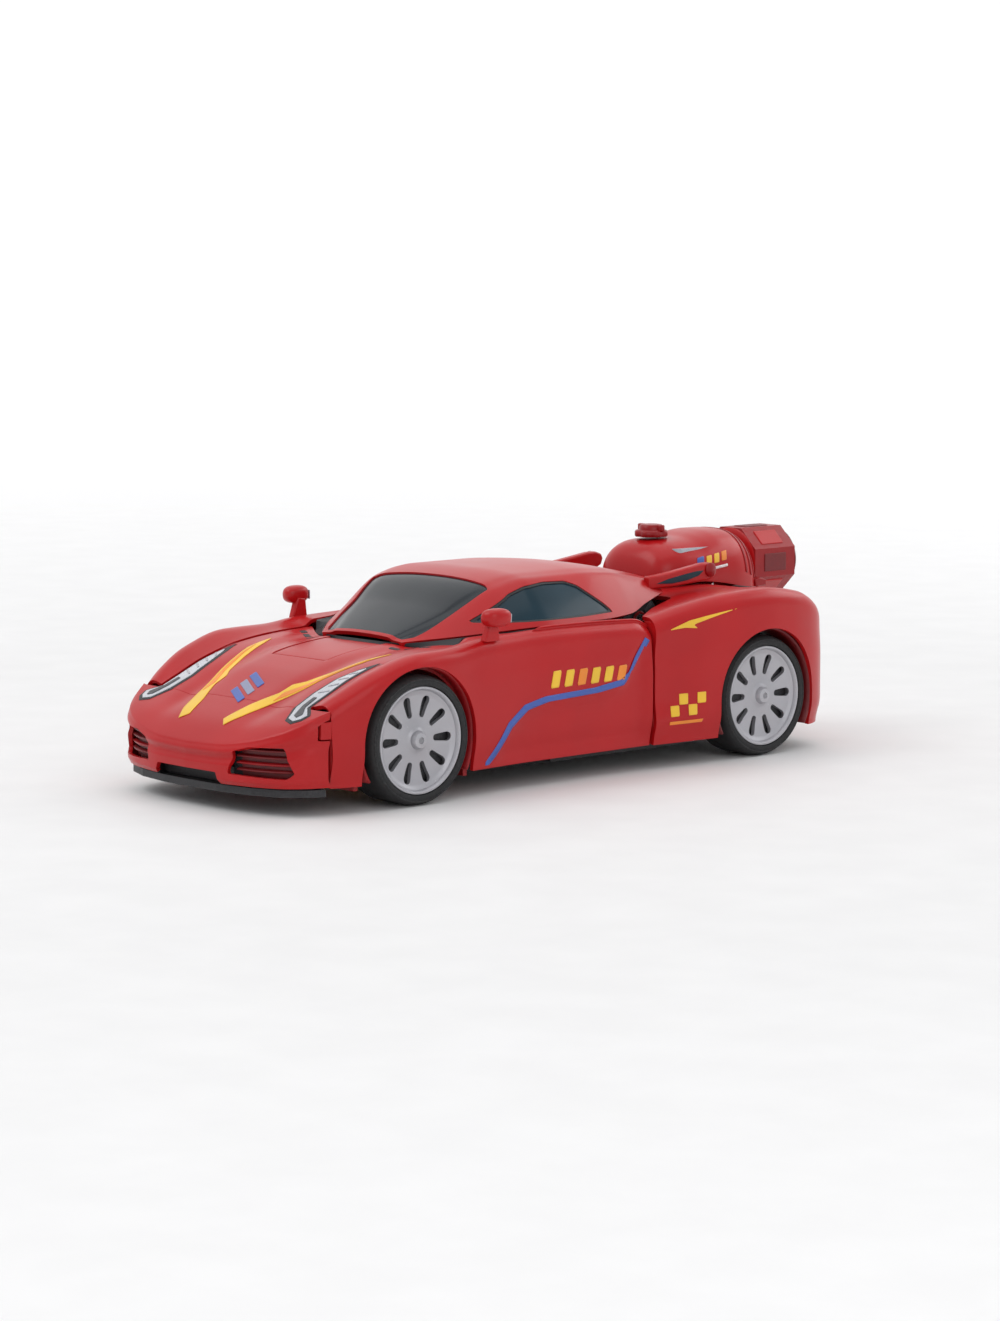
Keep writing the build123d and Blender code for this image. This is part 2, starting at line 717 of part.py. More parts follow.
def lift_pinion():
    outline = teeth(LIFT_PINION_TEETH, LIFT_MODULE, LIFT_MOTOR, radians(180 - LIFT_ANGLE))
    return spur_gear(0.2, 3.6, outline, LIFT_MOTOR, PINION_BORE_R)


# ================================================================ roof canopy
def canopy_solid(inset, skirt=0.6, rear_f=30):
    """Closed solid under the canopy surface from rear_f forward.

    The surface is moved in by inset, and the floor lies below the sill by skirt.
    """
    with BuildPart() as solid:
        for f, sill_half, sill_z, roof_half, roof_z, centre_z in CANOPY:
            if f < rear_f:
                continue
            half = sill_half - inset
            sill = min(sill_z, roof_z - inset - 0.6)
            with BuildSketch(cross_plane(f)):
                with BuildLine():
                    Polyline(*mirrored([(-half, sill - skirt), (-half, sill),
                                        (-(roof_half - inset * 0.9), roof_z - inset),
                                        (0, centre_z - inset)]), close=True)
                make_face()
        loft(ruled=True)
    return solid.part


def canopy_shell():
    outside = canopy_solid(0)
    inside = canopy_solid(SKIN, skirt=3)
    with BuildPart() as shell:
        add(outside)
        add(inside, mode=CUT)
        # windscreen opening
        plan_slab(40, 40, mirrored([(27, 115.5), (20.5, 134), (14, 144)]), mode=CUT)
        # side window openings
        side_slab(-60, 120, [(64, 57.5), (72, 68), (104, 68.6), (112, 66.6), (128, 56.6)],
                  mode=CUT)
        # hinge arms on both sides of the mist generator
        paired_slabs(28.0, 3.6, [(36, 61.6), (36, 66.4), (30, 66.2), (6, 70.8), (6, 63.2),
                                 (26, 61.8)], (CANOPY_HINGE, 3.9))
        side_bore(40, CANOPY_PIN_R + RUN_FIT, CANOPY_HINGE)
    return shell.part


def canopy_glass():
    gap, thickness = 0.1, 1.0
    outside = canopy_solid(SKIN + gap, rear_f=45)
    inside = canopy_solid(SKIN + gap + thickness, skirt=3, rear_f=45)
    with BuildPart() as glass:
        add(outside)
        add(inside, mode=CUT)
        side_slab(-60, 120, [(60, 50), (60, 80), (146.5, 80), (146.5, 50)], mode=TRIM)
    return glass.part


# ================================================================ hood
def hood_shell():
    """Left half built and mirrored, then the head hatch."""
    rear_edge = [(0, 150.5), (14, 149.5), (22, 147.2), (30, 143.6), (36, 139.6), (39.8, 137)]
    with BuildPart() as shell:
        # top skin
        skin_strip(0, 52, HOOD_TOP)
        # bumper wall
        plan_slab(BODY_Z, 31, NOSE_PLAN + NOSE_INNER[::-1])
        # trim to the plan and to the top line
        plan_slab(0, 80, rear_edge + [(39.8, 205.2)] + NOSE_PLAN, mode=TRIM)
        side_slab(0, 60, [(127, 0)] + HOOD_TOP + [(227, 0)], mode=TRIM)
        # side intakes of the bumper
        slab(cross_plane(200), [(20, 13), (23, 22), (43, 24), (46, 13)], 40, mode=CUT)
        # notches where the swung-out front links pass the corners
        plan_slab(25.6, 5.6, [(36, 204), (36, 207.2), (60, 207.2), (60, 204)], mode=CUT)
        # headlight opening
        plan_slab(26, 30, [(33.5, 198), (38, 203.5), (43.5, 207.3), (40, 211.5), (35.5, 209)],
                  mode=CUT)
        mirror(about=Plane.YZ)
        # head hatch opening
        plan_slab(26, 40, mirrored([(14.6, 140), (14.6, 176.4)]), mode=CUT)
    return shell.part


def hood_frame():
    rail_x, rail_w = 27.5, 6
    shelf_z, shelf_t, rear_pin_h = 23.2, 2.2, 5.2
    with BuildPart() as frame:
        # side rail
        side_slab(rail_x, rail_w, [
            (152, 31.5), (196, 31.5), (198, 30.7), (206.4, 30.7), (207.6, 27), (212, 22),
            (217.2, 22), (217.2, 26.0), (206.4, 31.9), (195, 36.4), (184, 41), (168, 45.2),
            (160, 45.6), (152, 40)])
        # front cross bar
        side_slab(0, rail_x + rail_w, [(213, 22), (217.2, 22), (217.2, 26), (213, 28.2)])
        # neck bracket
        side_slab(17.0, 5, [(207.4, 13), (209, 24), (213, 28), (217.2, 25.8), (217.2, 18),
                            (214.6, 11)], (NECK, 3.9))
        side_discs(0, 40, 2.1, NECK, mode=CUT)
        # head cross bar and head lug
        side_slab(0, 28, [(179.6, 34), (184, 34), (184, 40.6), (179.6, 41.6)])
        side_slab(15.2, 2.8, [(165, 40.2), (180, 36), (180, 41.4), (165, 45.8)],
                  (HEAD_HINGE, 2.8))
        side_discs(0, 22.4, HEAD_PIN_R + RUN_FIT, HEAD_HINGE, mode=CUT)
        # pivot pin for the lift arm
        side_discs(22.6, 5, 2.0, ARM_TIP)
        # front panel link pin under the rail
        plan_discs(25.8, 5.4, HOOD_LINK_PIN_R, (LINK_X, FRONT_LINK_F))
        # rear panel link pin on a shelf hung inboard of the links
        side_slab(24.6, 1.8, [(173, 23.2), (183, 23.2), (183, 40.6), (173, 42)])
        side_slab(24.6, 4, [(173, 31.5), (183, 31.5), (183, 40.6), (173, 42)])
        plan_boxes(shelf_z, shelf_t, 8.6, 7.2, (28.9, REAR_LINK_F))
        plan_discs(18.2, rear_pin_h, HOOD_LINK_PIN_R, (LINK_X, REAR_LINK_F))
        mirror(about=Plane.YZ)
    return frame.part


def headlights():
    with BuildPart() as lights:
        side_slab(0, 52, [(196, 37.0), (205, 33.0), (213, 29.3), (213, 27.4), (205, 31.1),
                          (196, 35.1)])
        plan_slab(0, 60, [(33.9, 199), (38.1, 203.8), (43.0, 207.5), (39.9, 211.0),
                          (35.7, 208.6)], mode=TRIM)
        mirror(about=Plane.YZ)
    return lights.part


def front_splitter():
    blade_z, blade_t = 6.4, 2.5
    with BuildPart() as splitter:
        plan_slab(blade_z, blade_t, [
            (48.6, 205.4), (45.8, 211), (40, 217), (29, 221.4), (14, 223.8), (0, 224.2),
            (0, 218.4), (24, 217.4), (26, 208), (26, 205.4)])
        # intake grille behind the bumper opening
        plan_slab(blade_z + blade_t, 12.8, [
            (45.4, 208), (42.6, 211.6), (36, 216.2), (27, 219.4), (20, 221), (20, 219.2),
            (26, 217.6), (34, 214.4), (40, 210.6), (42.5, 208)])
        mirror(about=Plane.YZ)
    return splitter.part


# ================================================================ head, folded under the roof
def head_ball(radius, mode=Mode.ADD):
    """Ball about the head centre, turned about a lengthwise axis."""
    f, z = HEAD_CENTRE
    with BuildSketch(Plane.YZ) as half_disc:
        with BuildLine():
            Line(*side([(f - radius, z), (f + radius, z)]))
            ThreePointArc(*side([(f + radius, z), (f, z + radius), (f - radius, z)]))
        make_face()
    revolve(half_disc.sketch, axis=Axis((0, ORIGIN_F - f, z), (0, 1, 0)), mode=mode)


def helmet():
    with BuildPart() as shell:
        head_ball(HELMET_R)
        head_ball(HELMET_IN_R, mode=CUT)
        # neck side and face window
        side_slab(-20, 40, [(152, 10), (170, 10), (170, 60), (152, 60)], mode=CUT)
        plan_boxes(38, 12, 13, 12, (0, 146.5), mode=CUT)
    return shell.part


def face_mask():
    with BuildPart() as face:
        head_ball(FACE_R)
        # neck and hinge barrel
        side_slab(-4, 8, [(150, 30), (156, 32.5), (166, 40.5), (164, 46), (152, 40)])
        side_discs(-14, 28, 3.1, HEAD_HINGE)
        # hatch that closes the hood when the head is folded
        side_slab(-14, 28, [(152, 47.2), (174.4, 46.2), (174.4, 44.9), (152, 45.9)])
        # ribs under the hatch
        paired_slabs(8.0, 2, [(161, 46), (169, 46), (167, 42), (163, 42)])
        # hinge stubs
        side_discs(-18, 36, HEAD_PIN_R, HEAD_HINGE)
    return face.part


# ================================================================ side panels
def side_panel_left():
    door_inner = [(x - SKIN, f) for x, f in DOOR_PLAN]
    fender_in = 40.4           # inboard edge of the fender top
    with BuildPart() as panel:
        plan_slab(BODY_Z, 47, DOOR_PLAN + door_inner[::-1])
        # fender top
        skin_strip(fender_in, 17, [(f, z) for f, z in PANEL_TOP if f > 139])
        # trim to the plan and to the top line
        plan_slab(0, 80, [(fender_in, 56.2)] + DOOR_PLAN + [(fender_in, 205)], mode=TRIM)
        side_slab(38, 22, [(56.2, BODY_Z)] + PANEL_TOP + [(205, BODY_Z)], mode=TRIM)
        # front wheel arch
        side_arch(48.6, 10, WHEELBASE, ARCH_R, 8, 28, mode=CUT)
        # shut gap to the bumper, and the front closing wall
        plan_slab(0, 60, [(36, 204), (36, 208), (60, 208), (60, 204)], mode=CUT)
        plan_slab(BODY_Z, 25, [(fender_in, 204), (49.8, 204), (50.4, 202), (fender_in, 202)])
        # mirror stalk and mirror
        plan_boxes(53, 6, 1.6, 3, (50.4, 134))
        side_boxes(48.6, 8, 10, 5.6, (133.5, 60.5), corner=2.2)
    return panel.part


def wheel_housing_left():
    back_x = 34.0              # inboard face
    with BuildPart() as housing:
        side_arch(back_x, 14.4, WHEELBASE, 25.4, 14.5, 15)
        side_arch(back_x + 1.6, 20, WHEELBASE, 23.6, 12, 20, mode=CUT)
        # open at the bottom
        side_boxes(33, 20, 60, 14, (WHEELBASE, 0), mode=CUT)
        # relief below the edge of the hood
        side_slab(33, 7.2, lower(HOOD_TOP, SKIN + 0.5) + [(227, 70), (128, 70)], mode=CUT)
        # stub axle and its collar
        side_discs(35, 18.4, STUB_R, FRONT_AXLE)
        side_discs(35, 1.3, 4.0, FRONT_AXLE)
        # carrier plate behind the housing and link lugs with their pins
        side_slab(back_x, 2.4, [(118.6, 13.6), (146, 13.6), (146, 34), (132, 24), (118.6, 24)])
        for f, z in ((FRONT_LINK_F - LINK_LENGTH, 23.6), (REAR_LINK_F - LINK_LENGTH, 15.8)):
            plan_slab(z, 2.2, [(27.4, f - 3), (27.4, f + 3), (36, f + 4), (36, f - 4)])
            plan_discs(z, 6.9, PANEL_LINK_PIN_R, (LINK_X, f))
        # outrigger to the door
        plan_slab(15.8, 6, [(35, 119), (35, 124), (50.05, 124), (50.05, 119)])
    return housing.part


def panel_link(hood_f, z):
    """Flat link with two eyes, lying back from the hood pivot to the panel pivot."""
    hood_eye = (LINK_X, hood_f)
    panel_eye = (LINK_X, hood_f - LINK_LENGTH)
    middle = (LINK_X, hood_f - LINK_LENGTH / 2)
    with BuildPart() as link:
        plan_boxes(z, LINK_T, 5.4, LINK_LENGTH, middle)
        plan_discs(z, LINK_T, 3.2, hood_eye, panel_eye)
        plan_boxes(z, LINK_T, 2.2, LINK_LENGTH - 14, middle, mode=CUT)
        plan_discs(z, LINK_T, HOOD_LINK_PIN_R + LINK_FIT, hood_eye, mode=CUT)
        plan_discs(z, LINK_T, PANEL_LINK_PIN_R + LINK_FIT, panel_eye, mode=CUT)
    return link.part


def front_link_left():
    return panel_link(FRONT_LINK_F, 26.4)


def rear_link_left():
    return panel_link(REAR_LINK_F, 18.6)


# ================================================================ build and save
SINGLE_PIECES = (
    chassis_tub, battery_door, battery_pack, circuit_board, drive_motor_left,
    drive_motor_right, lift_motor, ankle_pin, chassis_screws, foot_frame, rear_body_shell,
    rear_diffuser, tail_lamps, turbine_housing, mist_nozzle, mist_fan, water_tank, filler_cap,
    power_switch, torso_frame, shin_plates, knee_pads, thigh_plates, waist_belt, chest_plate,
    side_arms, lift_arms, lift_shaft, lift_gear, lift_pinion, canopy_shell, canopy_glass,
    hood_shell, hood_frame, headlights, front_splitter, helmet, face_mask,
)
# left pieces whose right twin is a mirror image
HANDED_PIECES = (rear_axle_left, drive_pinion_left, side_panel_left, wheel_housing_left,
                 front_link_left, rear_link_left)

for make in SINGLE_PIECES:
    save(make(), make.__name__)

for make in HANDED_PIECES:
    left_part = make()
    save(left_part, make.__name__)
    save_mirrored(left_part, make.__name__.replace("_left", "_right"))

for hand, x in zip(SIDES, both_sides(17.6, CASTER_W)):
    save(caster_wheel(x), f"caster_wheel_{hand}")

# the slotted faces look outboard
for hand, x, face_offset in zip(SIDES, both_sides(WHEEL_IN, TYRE_W), (TYRE_W - 4.2, 1.2)):
    for end, f, bore in (("rear", 0, AXLE_R), ("front", WHEELBASE, STUB_R + RUN_FIT)):
        save(tyre(f, x), f"{end}_tyre_{hand}")
        save(rim(f, x, bore, face_offset), f"{end}_rim_{hand}")
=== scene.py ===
# A toy racing car, about 290 mm long, with a turbine and mist nozzle on its tail and a robot
# folded inside. Points are (x, y, z) in mm: x to the left of centre, y forward of the rear axle,
# z up from the floor. place() turns them into scene metres, where the car's left is +X and its
# nose points to -Y. Right-hand pieces mirror the left ones, with sign -1.
import bpy
import bmesh
import json
from collections import Counter
from math import asin, atan2, copysign, cos, exp, hypot, pi, radians, sin
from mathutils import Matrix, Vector


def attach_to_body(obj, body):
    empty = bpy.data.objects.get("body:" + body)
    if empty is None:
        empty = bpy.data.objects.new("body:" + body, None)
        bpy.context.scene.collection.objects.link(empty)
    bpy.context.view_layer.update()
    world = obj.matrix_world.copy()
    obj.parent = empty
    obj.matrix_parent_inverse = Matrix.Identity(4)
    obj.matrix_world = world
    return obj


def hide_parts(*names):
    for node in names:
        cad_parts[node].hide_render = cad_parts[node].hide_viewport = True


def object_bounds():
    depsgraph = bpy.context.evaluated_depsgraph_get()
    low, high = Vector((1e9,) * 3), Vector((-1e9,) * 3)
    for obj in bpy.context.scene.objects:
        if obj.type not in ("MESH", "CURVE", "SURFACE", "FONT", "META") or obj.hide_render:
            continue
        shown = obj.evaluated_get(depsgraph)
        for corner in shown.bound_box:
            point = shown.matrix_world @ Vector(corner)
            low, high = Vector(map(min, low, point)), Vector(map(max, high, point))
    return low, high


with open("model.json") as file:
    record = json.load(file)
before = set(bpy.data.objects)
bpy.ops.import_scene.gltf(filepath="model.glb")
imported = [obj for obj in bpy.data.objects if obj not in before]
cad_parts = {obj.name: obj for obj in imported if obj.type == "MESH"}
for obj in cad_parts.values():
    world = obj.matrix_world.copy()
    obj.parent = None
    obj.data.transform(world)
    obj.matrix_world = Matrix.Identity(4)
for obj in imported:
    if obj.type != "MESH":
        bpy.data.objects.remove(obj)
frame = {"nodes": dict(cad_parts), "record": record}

CAD_BOX = [list(corner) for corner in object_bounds()]

# ------------------------------------------------------------------ driving dimensions, mm
SCENE_ORIGIN_Y = 82.0   # the scene origin lies this far ahead of the rear axle
FRONT_AXLE_Y = 168.0
REAR_AXLE_Y = 0.0
AXLE_Z = 22
ARCH_R = 24.9           # wheel opening in the body
BARREL_R = ARCH_R + 0.4
SKIRT_Z = 9.0           # lower edge of the body
NOZZLE_Z = 65           # axis of the nozzle
SIDES = (("left", 1.0), ("right", -1.0))


def place(x, y, z):
    """Car millimetres as a point in the scene."""
    return Vector((x / 1000.0, (SCENE_ORIGIN_Y - y) / 1000.0, z / 1000.0))


# ------------------------------------------------------------------ materials
def new_material(name):
    material = bpy.data.materials.new(name)
    material.use_nodes = True
    tree = material.node_tree
    tree.nodes.clear()
    output = tree.nodes.new("ShaderNodeOutputMaterial")
    shader = tree.nodes.new("ShaderNodeBsdfPrincipled")
    tree.links.new(shader.outputs[0], output.inputs[0])
    return material, tree, shader


def feed(tree, socket, value):
    """Links a socket or sets a constant; a colour gets its alpha here."""
    if isinstance(value, bpy.types.NodeSocket):
        tree.links.new(value, socket)
    elif isinstance(value, tuple):
        socket.default_value = (*value, 1.0)
    else:
        socket.default_value = value


def mix_colour(tree, factor, first, second):
    node = tree.nodes.new("ShaderNodeMix")
    node.data_type = "RGBA"
    for index, value in ((0, factor), (6, first), (7, second)):
        feed(tree, node.inputs[index], value)
    return node.outputs[2]


def math_node(tree, operation, first, second):
    node = tree.nodes.new("ShaderNodeMath")
    node.operation = operation
    feed(tree, node.inputs[0], first)
    feed(tree, node.inputs[1], second)
    return node.outputs[0]


def remap(tree, source, low, high, out_low=0.0, out_high=1.0):
    node = tree.nodes.new("ShaderNodeMapRange")
    for index, value in enumerate((source, low, high, out_low, out_high)):
        feed(tree, node.inputs[index], value)
    return node.outputs[0]


def noise(tree, coords, scale, detail):
    node = tree.nodes.new("ShaderNodeTexNoise")
    node.inputs["Scale"].default_value = scale
    node.inputs["Detail"].default_value = detail
    tree.links.new(coords, node.inputs["Vector"])
    return node.outputs[0]


def plastic(name, base, rough=0.3, grain=900.0, bump=0.05, wear=0.25, worn=None, metal=0.0,
            coat=0.0, mottled=0.12, rough_range=0.12, streak=0.0, hollow_shade_strength=0.55, specular=0.5):
    """Moulded plastic or metal: colour drift, rubbed edges, uneven gloss and a fine skin.

    grain and streak are texture scales, wear how far edges turn to the worn colour, the
    hollow-shade strength how far hollows are painted darker as shade, mottled the drift of the
    base colour, rough_range that of the roughness.
    """
    material, tree, shader = new_material(name)
    coords = tree.nodes.new("ShaderNodeTexCoord").outputs["Object"]
    big = noise(tree, coords, scale=38.0, detail=5.0)
    fine = noise(tree, coords, scale=grain, detail=3.0)
    dark = tuple(c * (1.0 - mottled * 1.6) for c in base)
    light = tuple(min(1.0, c * (1.0 + mottled)) for c in base)
    colour = mix_colour(tree, remap(tree, big, 0.35, 0.68), dark, light)

    # rubbed edges, broken up by the fine grain
    pointiness = tree.nodes.new("ShaderNodeNewGeometry").outputs["Pointiness"]
    edge = remap(tree, pointiness, 0.515, 0.60)
    scuff = math_node(tree, "MULTIPLY", edge, remap(tree, fine, 0.42, 0.62, 0.2, 1.0))
    worn = worn or tuple(min(1.0, c * 1.5 + 0.05) for c in base)
    colour = mix_colour(tree, math_node(tree, "MULTIPLY", scuff, wear), colour, worn)
    # painted shade: hollows, found by low pointiness, are darkened toward a third of the base
    # colour
    if hollow_shade_strength:
        painted_hollow_shade = remap(tree, pointiness, 0.42, 0.49, hollow_shade_strength, 0.0)
        colour = mix_colour(tree, painted_hollow_shade, colour, tuple(c * 0.35 for c in base))
    tree.links.new(colour, shader.inputs["Base Color"])

    drift = remap(tree, big, 0.3, 0.7, rough - rough_range * 0.5, rough + rough_range * 0.5)
    added = remap(tree, scuff, 0.0, 1.0, 0.0, 0.18)
    tree.links.new(math_node(tree, "ADD", drift, added), shader.inputs["Roughness"])
    shader.inputs["Metallic"].default_value = metal
    if coat:
        shader.inputs["Coat Weight"].default_value = coat
        shader.inputs["Coat Roughness"].default_value = 0.08
    shader.inputs["Specular IOR Level"].default_value = specular

    relief = tree.nodes.new("ShaderNodeBump")
    relief.inputs["Strength"].default_value = bump
    relief.inputs["Distance"].default_value = 0.0004
    height = fine
    if streak:
        wave = tree.nodes.new("ShaderNodeTexWave")
        wave.inputs["Scale"].default_value = streak
        wave.inputs["Distortion"].default_value = 1.2
        tree.links.new(coords, wave.inputs["Vector"])
        height = math_node(tree, "ADD", fine, wave.outputs[1])
    tree.links.new(height, relief.inputs["Height"])
    tree.links.new(relief.outputs[0], shader.inputs["Normal"])
    return material


def ink(name, base, rough=0.34, wear=0.3, worn=None, mottled=0.08):
    """Printed colour."""
    return plastic(name, base, rough=rough, grain=1600, bump=0.03, wear=wear, worn=worn,
                   mottled=mottled)


RED = plastic("moulded_red", (0.46, 0.006, 0.008), rough=0.33, grain=700, bump=0.03, wear=0.10,
              worn=(0.58, 0.05, 0.045), coat=0.10, mottled=0.035, rough_range=0.06, hollow_shade_strength=0.0,
              specular=0.30)
CRIMSON = plastic("moulded_crimson", (0.30, 0.005, 0.008), rough=0.36, grain=700, bump=0.05,
                  wear=0.18, worn=(0.45, 0.04, 0.04), coat=0.10, mottled=0.06, hollow_shade_strength=0.25,
                  specular=0.30)
# crimson trim painted darker as shade: used in the intakes, the rear wheel arch, the nozzle mouth,
# the roof ribs and on every other nozzle rib
SHADED_CRIMSON = plastic("crimson_painted_shade", (0.16, 0.004, 0.006), rough=0.42, grain=600, bump=0.08, wear=0.2)
BLACK = plastic("grained_black", (0.013, 0.013, 0.015), rough=0.48, grain=1500, bump=0.16,
                wear=0.35, worn=(0.09, 0.09, 0.095))
GREY = plastic("satin_grey", (0.06, 0.062, 0.068), rough=0.42, grain=1200, bump=0.12, wear=0.35,
               worn=(0.2, 0.2, 0.21))
SILVER = plastic("silver_paint", (0.46, 0.455, 0.48), rough=0.38, grain=2600, bump=0.06,
                 wear=0.35, worn=(0.75, 0.75, 0.78), metal=0.55, mottled=0.06)
YELLOW = plastic("moulded_yellow", (0.86, 0.50, 0.012), rough=0.3, grain=700, bump=0.04,
                 wear=0.25, worn=(0.95, 0.72, 0.2), coat=0.3)
GLAZING = plastic("smoked_glazing", (0.012, 0.017, 0.022), rough=0.16, grain=300, bump=0.015,
                  wear=0.1, coat=0.15, rough_range=0.08, specular=0.30, hollow_shade_strength=0.0)
GLAZING_TEAL = plastic("teal_glazing", (0.006, 0.030, 0.046), rough=0.20, grain=300, bump=0.015,
                       wear=0.06, coat=0.10, rough_range=0.08, specular=0.22, hollow_shade_strength=0.0)
LAMP = plastic("lamp_reflector", (0.58, 0.60, 0.64), rough=0.20, grain=260, bump=0.12, wear=0.1,
               metal=0.35, coat=0.5, streak=160, hollow_shade_strength=0.0)
LAMP_RED = plastic("lamp_red", (0.20, 0.001, 0.002), rough=0.14, grain=400, bump=0.05, wear=0.1,
                   coat=0.3, streak=220, specular=0.4)
RUBBER = plastic("tyre_rubber", (0.012, 0.012, 0.013), rough=0.72, grain=1100, bump=0.3,
                 wear=0.5, worn=(0.07, 0.07, 0.07), rough_range=0.2)
STEEL = plastic("drawn_steel", (0.46, 0.46, 0.47), rough=0.26, grain=2200, bump=0.05, wear=0.3,
                metal=1.0, streak=900)
CAN = plastic("plated_can", (0.42, 0.41, 0.39), rough=0.3, grain=1800, bump=0.05, wear=0.3,
              metal=1.0, streak=500)
ACETAL = plastic("acetal_gear", (0.72, 0.71, 0.66), rough=0.42, grain=900, bump=0.05, wear=0.2)
CELL = plastic("cell_wrap", (0.02, 0.07, 0.26), rough=0.22, grain=500, bump=0.05, wear=0.2,
               coat=0.4)
BOARD = plastic("solder_mask", (0.012, 0.11, 0.045), rough=0.35, grain=1400, bump=0.2, wear=0.3)
TANK = plastic("tank_plastic", (0.5, 0.6, 0.66), rough=0.22, grain=500, bump=0.05, wear=0.1,
               coat=0.3)
TEAL = plastic("visor_teal", (0.01, 0.35, 0.40), rough=0.2, grain=600, bump=0.03, wear=0.1,
               coat=0.4)
INK_YELLOW = ink("print_yellow", (0.90, 0.55, 0.03), worn=(0.7, 0.2, 0.05), mottled=0.06)
INK_ORANGE = ink("print_orange", (0.88, 0.26, 0.02))
INK_BLUE = ink("print_blue", (0.05, 0.11, 0.42))
INK_GREY = ink("print_blue_grey", (0.26, 0.28, 0.42))
INK_WHITE = ink("print_white", (0.8, 0.8, 0.78), rough=0.36, wear=0.2, mottled=0.05)

SLOT_MATERIAL = {
    "red_body": RED, "crimson_trim": CRIMSON, "black_plastic": BLACK, "grey_plastic": GREY,
    "silver_plastic": SILVER, "yellow_plastic": YELLOW, "smoked_glazing": GLAZING,
    "lamp_silver": LAMP, "lamp_red": LAMP_RED, "tyre_rubber": RUBBER, "steel": STEEL,
    "motor_can": CAN, "gear_white": ACETAL, "cell_blue": CELL, "circuit_green": BOARD,
    "tank_clear": TANK,
}
# slot that each new material stands for; inks have none
SLOT_OF = {material.name: slot for slot, material in SLOT_MATERIAL.items()}
SLOT_OF.update({SHADED_CRIMSON.name: "crimson_trim", GLAZING_TEAL.name: "smoked_glazing",
                TEAL.name: "grey_plastic"})


# ------------------------------------------------------------------ curves and distances
def clamp(value, low, high):
    return max(low, min(high, value))


def ease(start, end, value):
    """Smooth step from 0 at start to 1 at end; start may be the larger."""
    part = clamp((value - start) / (end - start), 0.0, 1.0)
    return part * part * (3 - 2 * part)


def signed_power(value, power):
    return copysign(abs(value) ** power, value)


def curve(points):
    """Smooth monotone curve through (x, y) pairs, level beyond its ends."""
    xs, ys = zip(*sorted(points))
    slopes = [(ys[i + 1] - ys[i]) / (xs[i + 1] - xs[i]) for i in range(len(xs) - 1)]
    inner = [0.0 if a * b <= 0 else 2 * a * b / (a + b) for a, b in zip(slopes, slopes[1:])]
    tangents = [slopes[0]] + inner + [slopes[-1]]

    def value(x):
        if x <= xs[0]:
            return ys[0]
        if x >= xs[-1]:
            return ys[-1]
        i = 0
        while x > xs[i + 1]:
            i += 1
        span = xs[i + 1] - xs[i]
        t = (x - xs[i]) / span
        return ((2 * t ** 3 - 3 * t ** 2 + 1) * ys[i]
                + (t ** 3 - 2 * t ** 2 + t) * span * tangents[i]
                + (-2 * t ** 3 + 3 * t ** 2) * ys[i + 1]
                + (t ** 3 - t ** 2) * span * tangents[i + 1])
    return value


def steps(start, end, count):
    return [start + (end - start) * i / count for i in range(count + 1)]


def turn_steps(count):
    """Fractions of a full turn, without the closing one."""
    return [k / count for k in range(count)]


def outline_steps(outline, column, margin, count):
    """Steps over one coordinate of an outline, with a margin at both ends."""
    values = [corner[column] for corner in outline]
    return steps(min(values) - margin, max(values) + margin, count)


def polygon_distance(outline):
    """Signed distance to a polygon in the plane, negative inside."""
    def distance(x, y):
        best = 1e9
        inside = False
        for i, (ax, ay) in enumerate(outline):
            bx, by = outline[(i + 1) % len(outline)]
            dx, dy = bx - ax, by - ay
            part = ((x - ax) * dx + (y - ay) * dy) / (dx * dx + dy * dy + 1e-12)
            part = clamp(part, 0.0, 1.0)
            best = min(best, hypot(x - ax - dx * part, y - ay - dy * part))
            if (ay > y) != (by > y) and x < (bx - ax) * (y - ay) / (by - ay) + ax:
                inside = not inside
        return -best if inside else best
    return distance


def mirrored(outline, sign):
    return [(sign * x, other) for x, other in outline]


# ------------------------------------------------------------------ mesh builders
def make_object(draft, name, material, smooth=True):
    mesh = bpy.data.meshes.new(name)
    draft.to_mesh(mesh)
    draft.free()
    part = bpy.data.objects.new(name, mesh)
    bpy.context.scene.collection.objects.link(part)
    mesh.materials.append(material)
    if smooth:
        for face in mesh.polygons:
            face.use_smooth = True
    return part


def round_edges(part, width, segments=2, limit=None):
    """Bevel of width mm on edges sharper than limit degrees, or the modifier's own limit."""
    bevel = part.modifiers.new("round", "BEVEL")
    bevel.width = width / 1000.0
    bevel.segments = segments
    if limit:
        bevel.limit_method = "ANGLE"
        bevel.angle_limit = radians(limit)


def attach(part, body, replaces=None):
    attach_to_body(part, body)
    if replaces:
        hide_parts(replaces)


def trim_grid(grid, cells, point, rows, cols, keep, closed):
    """Drops the cells outside keep > 0 and moves the rim that is left onto keep = 0."""
    last_row, last_col = len(rows) - 1, len(cols) - 1
    row_step = (rows[-1] - rows[0]) / last_row
    col_step = (cols[-1] - cols[0]) / last_col
    probe = 0.05      # of a step, for the slopes
    longest = 0.6     # of a step, per move
    margin = [[keep(*spot) for spot in line] for line in grid]
    kept = [cell for cell in cells if sum(margin[i][j] > 0 for i, j in cell) >= 2]
    owners = Counter(corner for cell in kept for corner in cell)
    for (i, j), count in owners.items():
        inner = 0 < j < last_col and (closed or 0 < i < last_row)
        if margin[i][j] > 0 and not (inner and count < 4):
            continue
        row, col = rows[i], cols[j]
        for _ in range(4):
            here = keep(*point(row, col))
            if abs(here) < 1e-3:
                break
            row_slope = (keep(*point(row + row_step * probe, col)) - here) / probe
            col_slope = (keep(*point(row, col + col_step * probe)) - here) / probe
            square = row_slope * row_slope + col_slope * col_slope
            if square < 1e-9:
                break
            row_move = -here * row_slope / square
            col_move = -here * col_slope / square
            reach = max(abs(row_move), abs(col_move), longest)
            row += row_move / reach * longest * row_step
            col += col_move / reach * longest * col_step
            if not closed:
                row = clamp(row, rows[0], rows[-1])
            col = clamp(col, cols[0], cols[-1])
        grid[i][j] = point(row, col)
    return kept


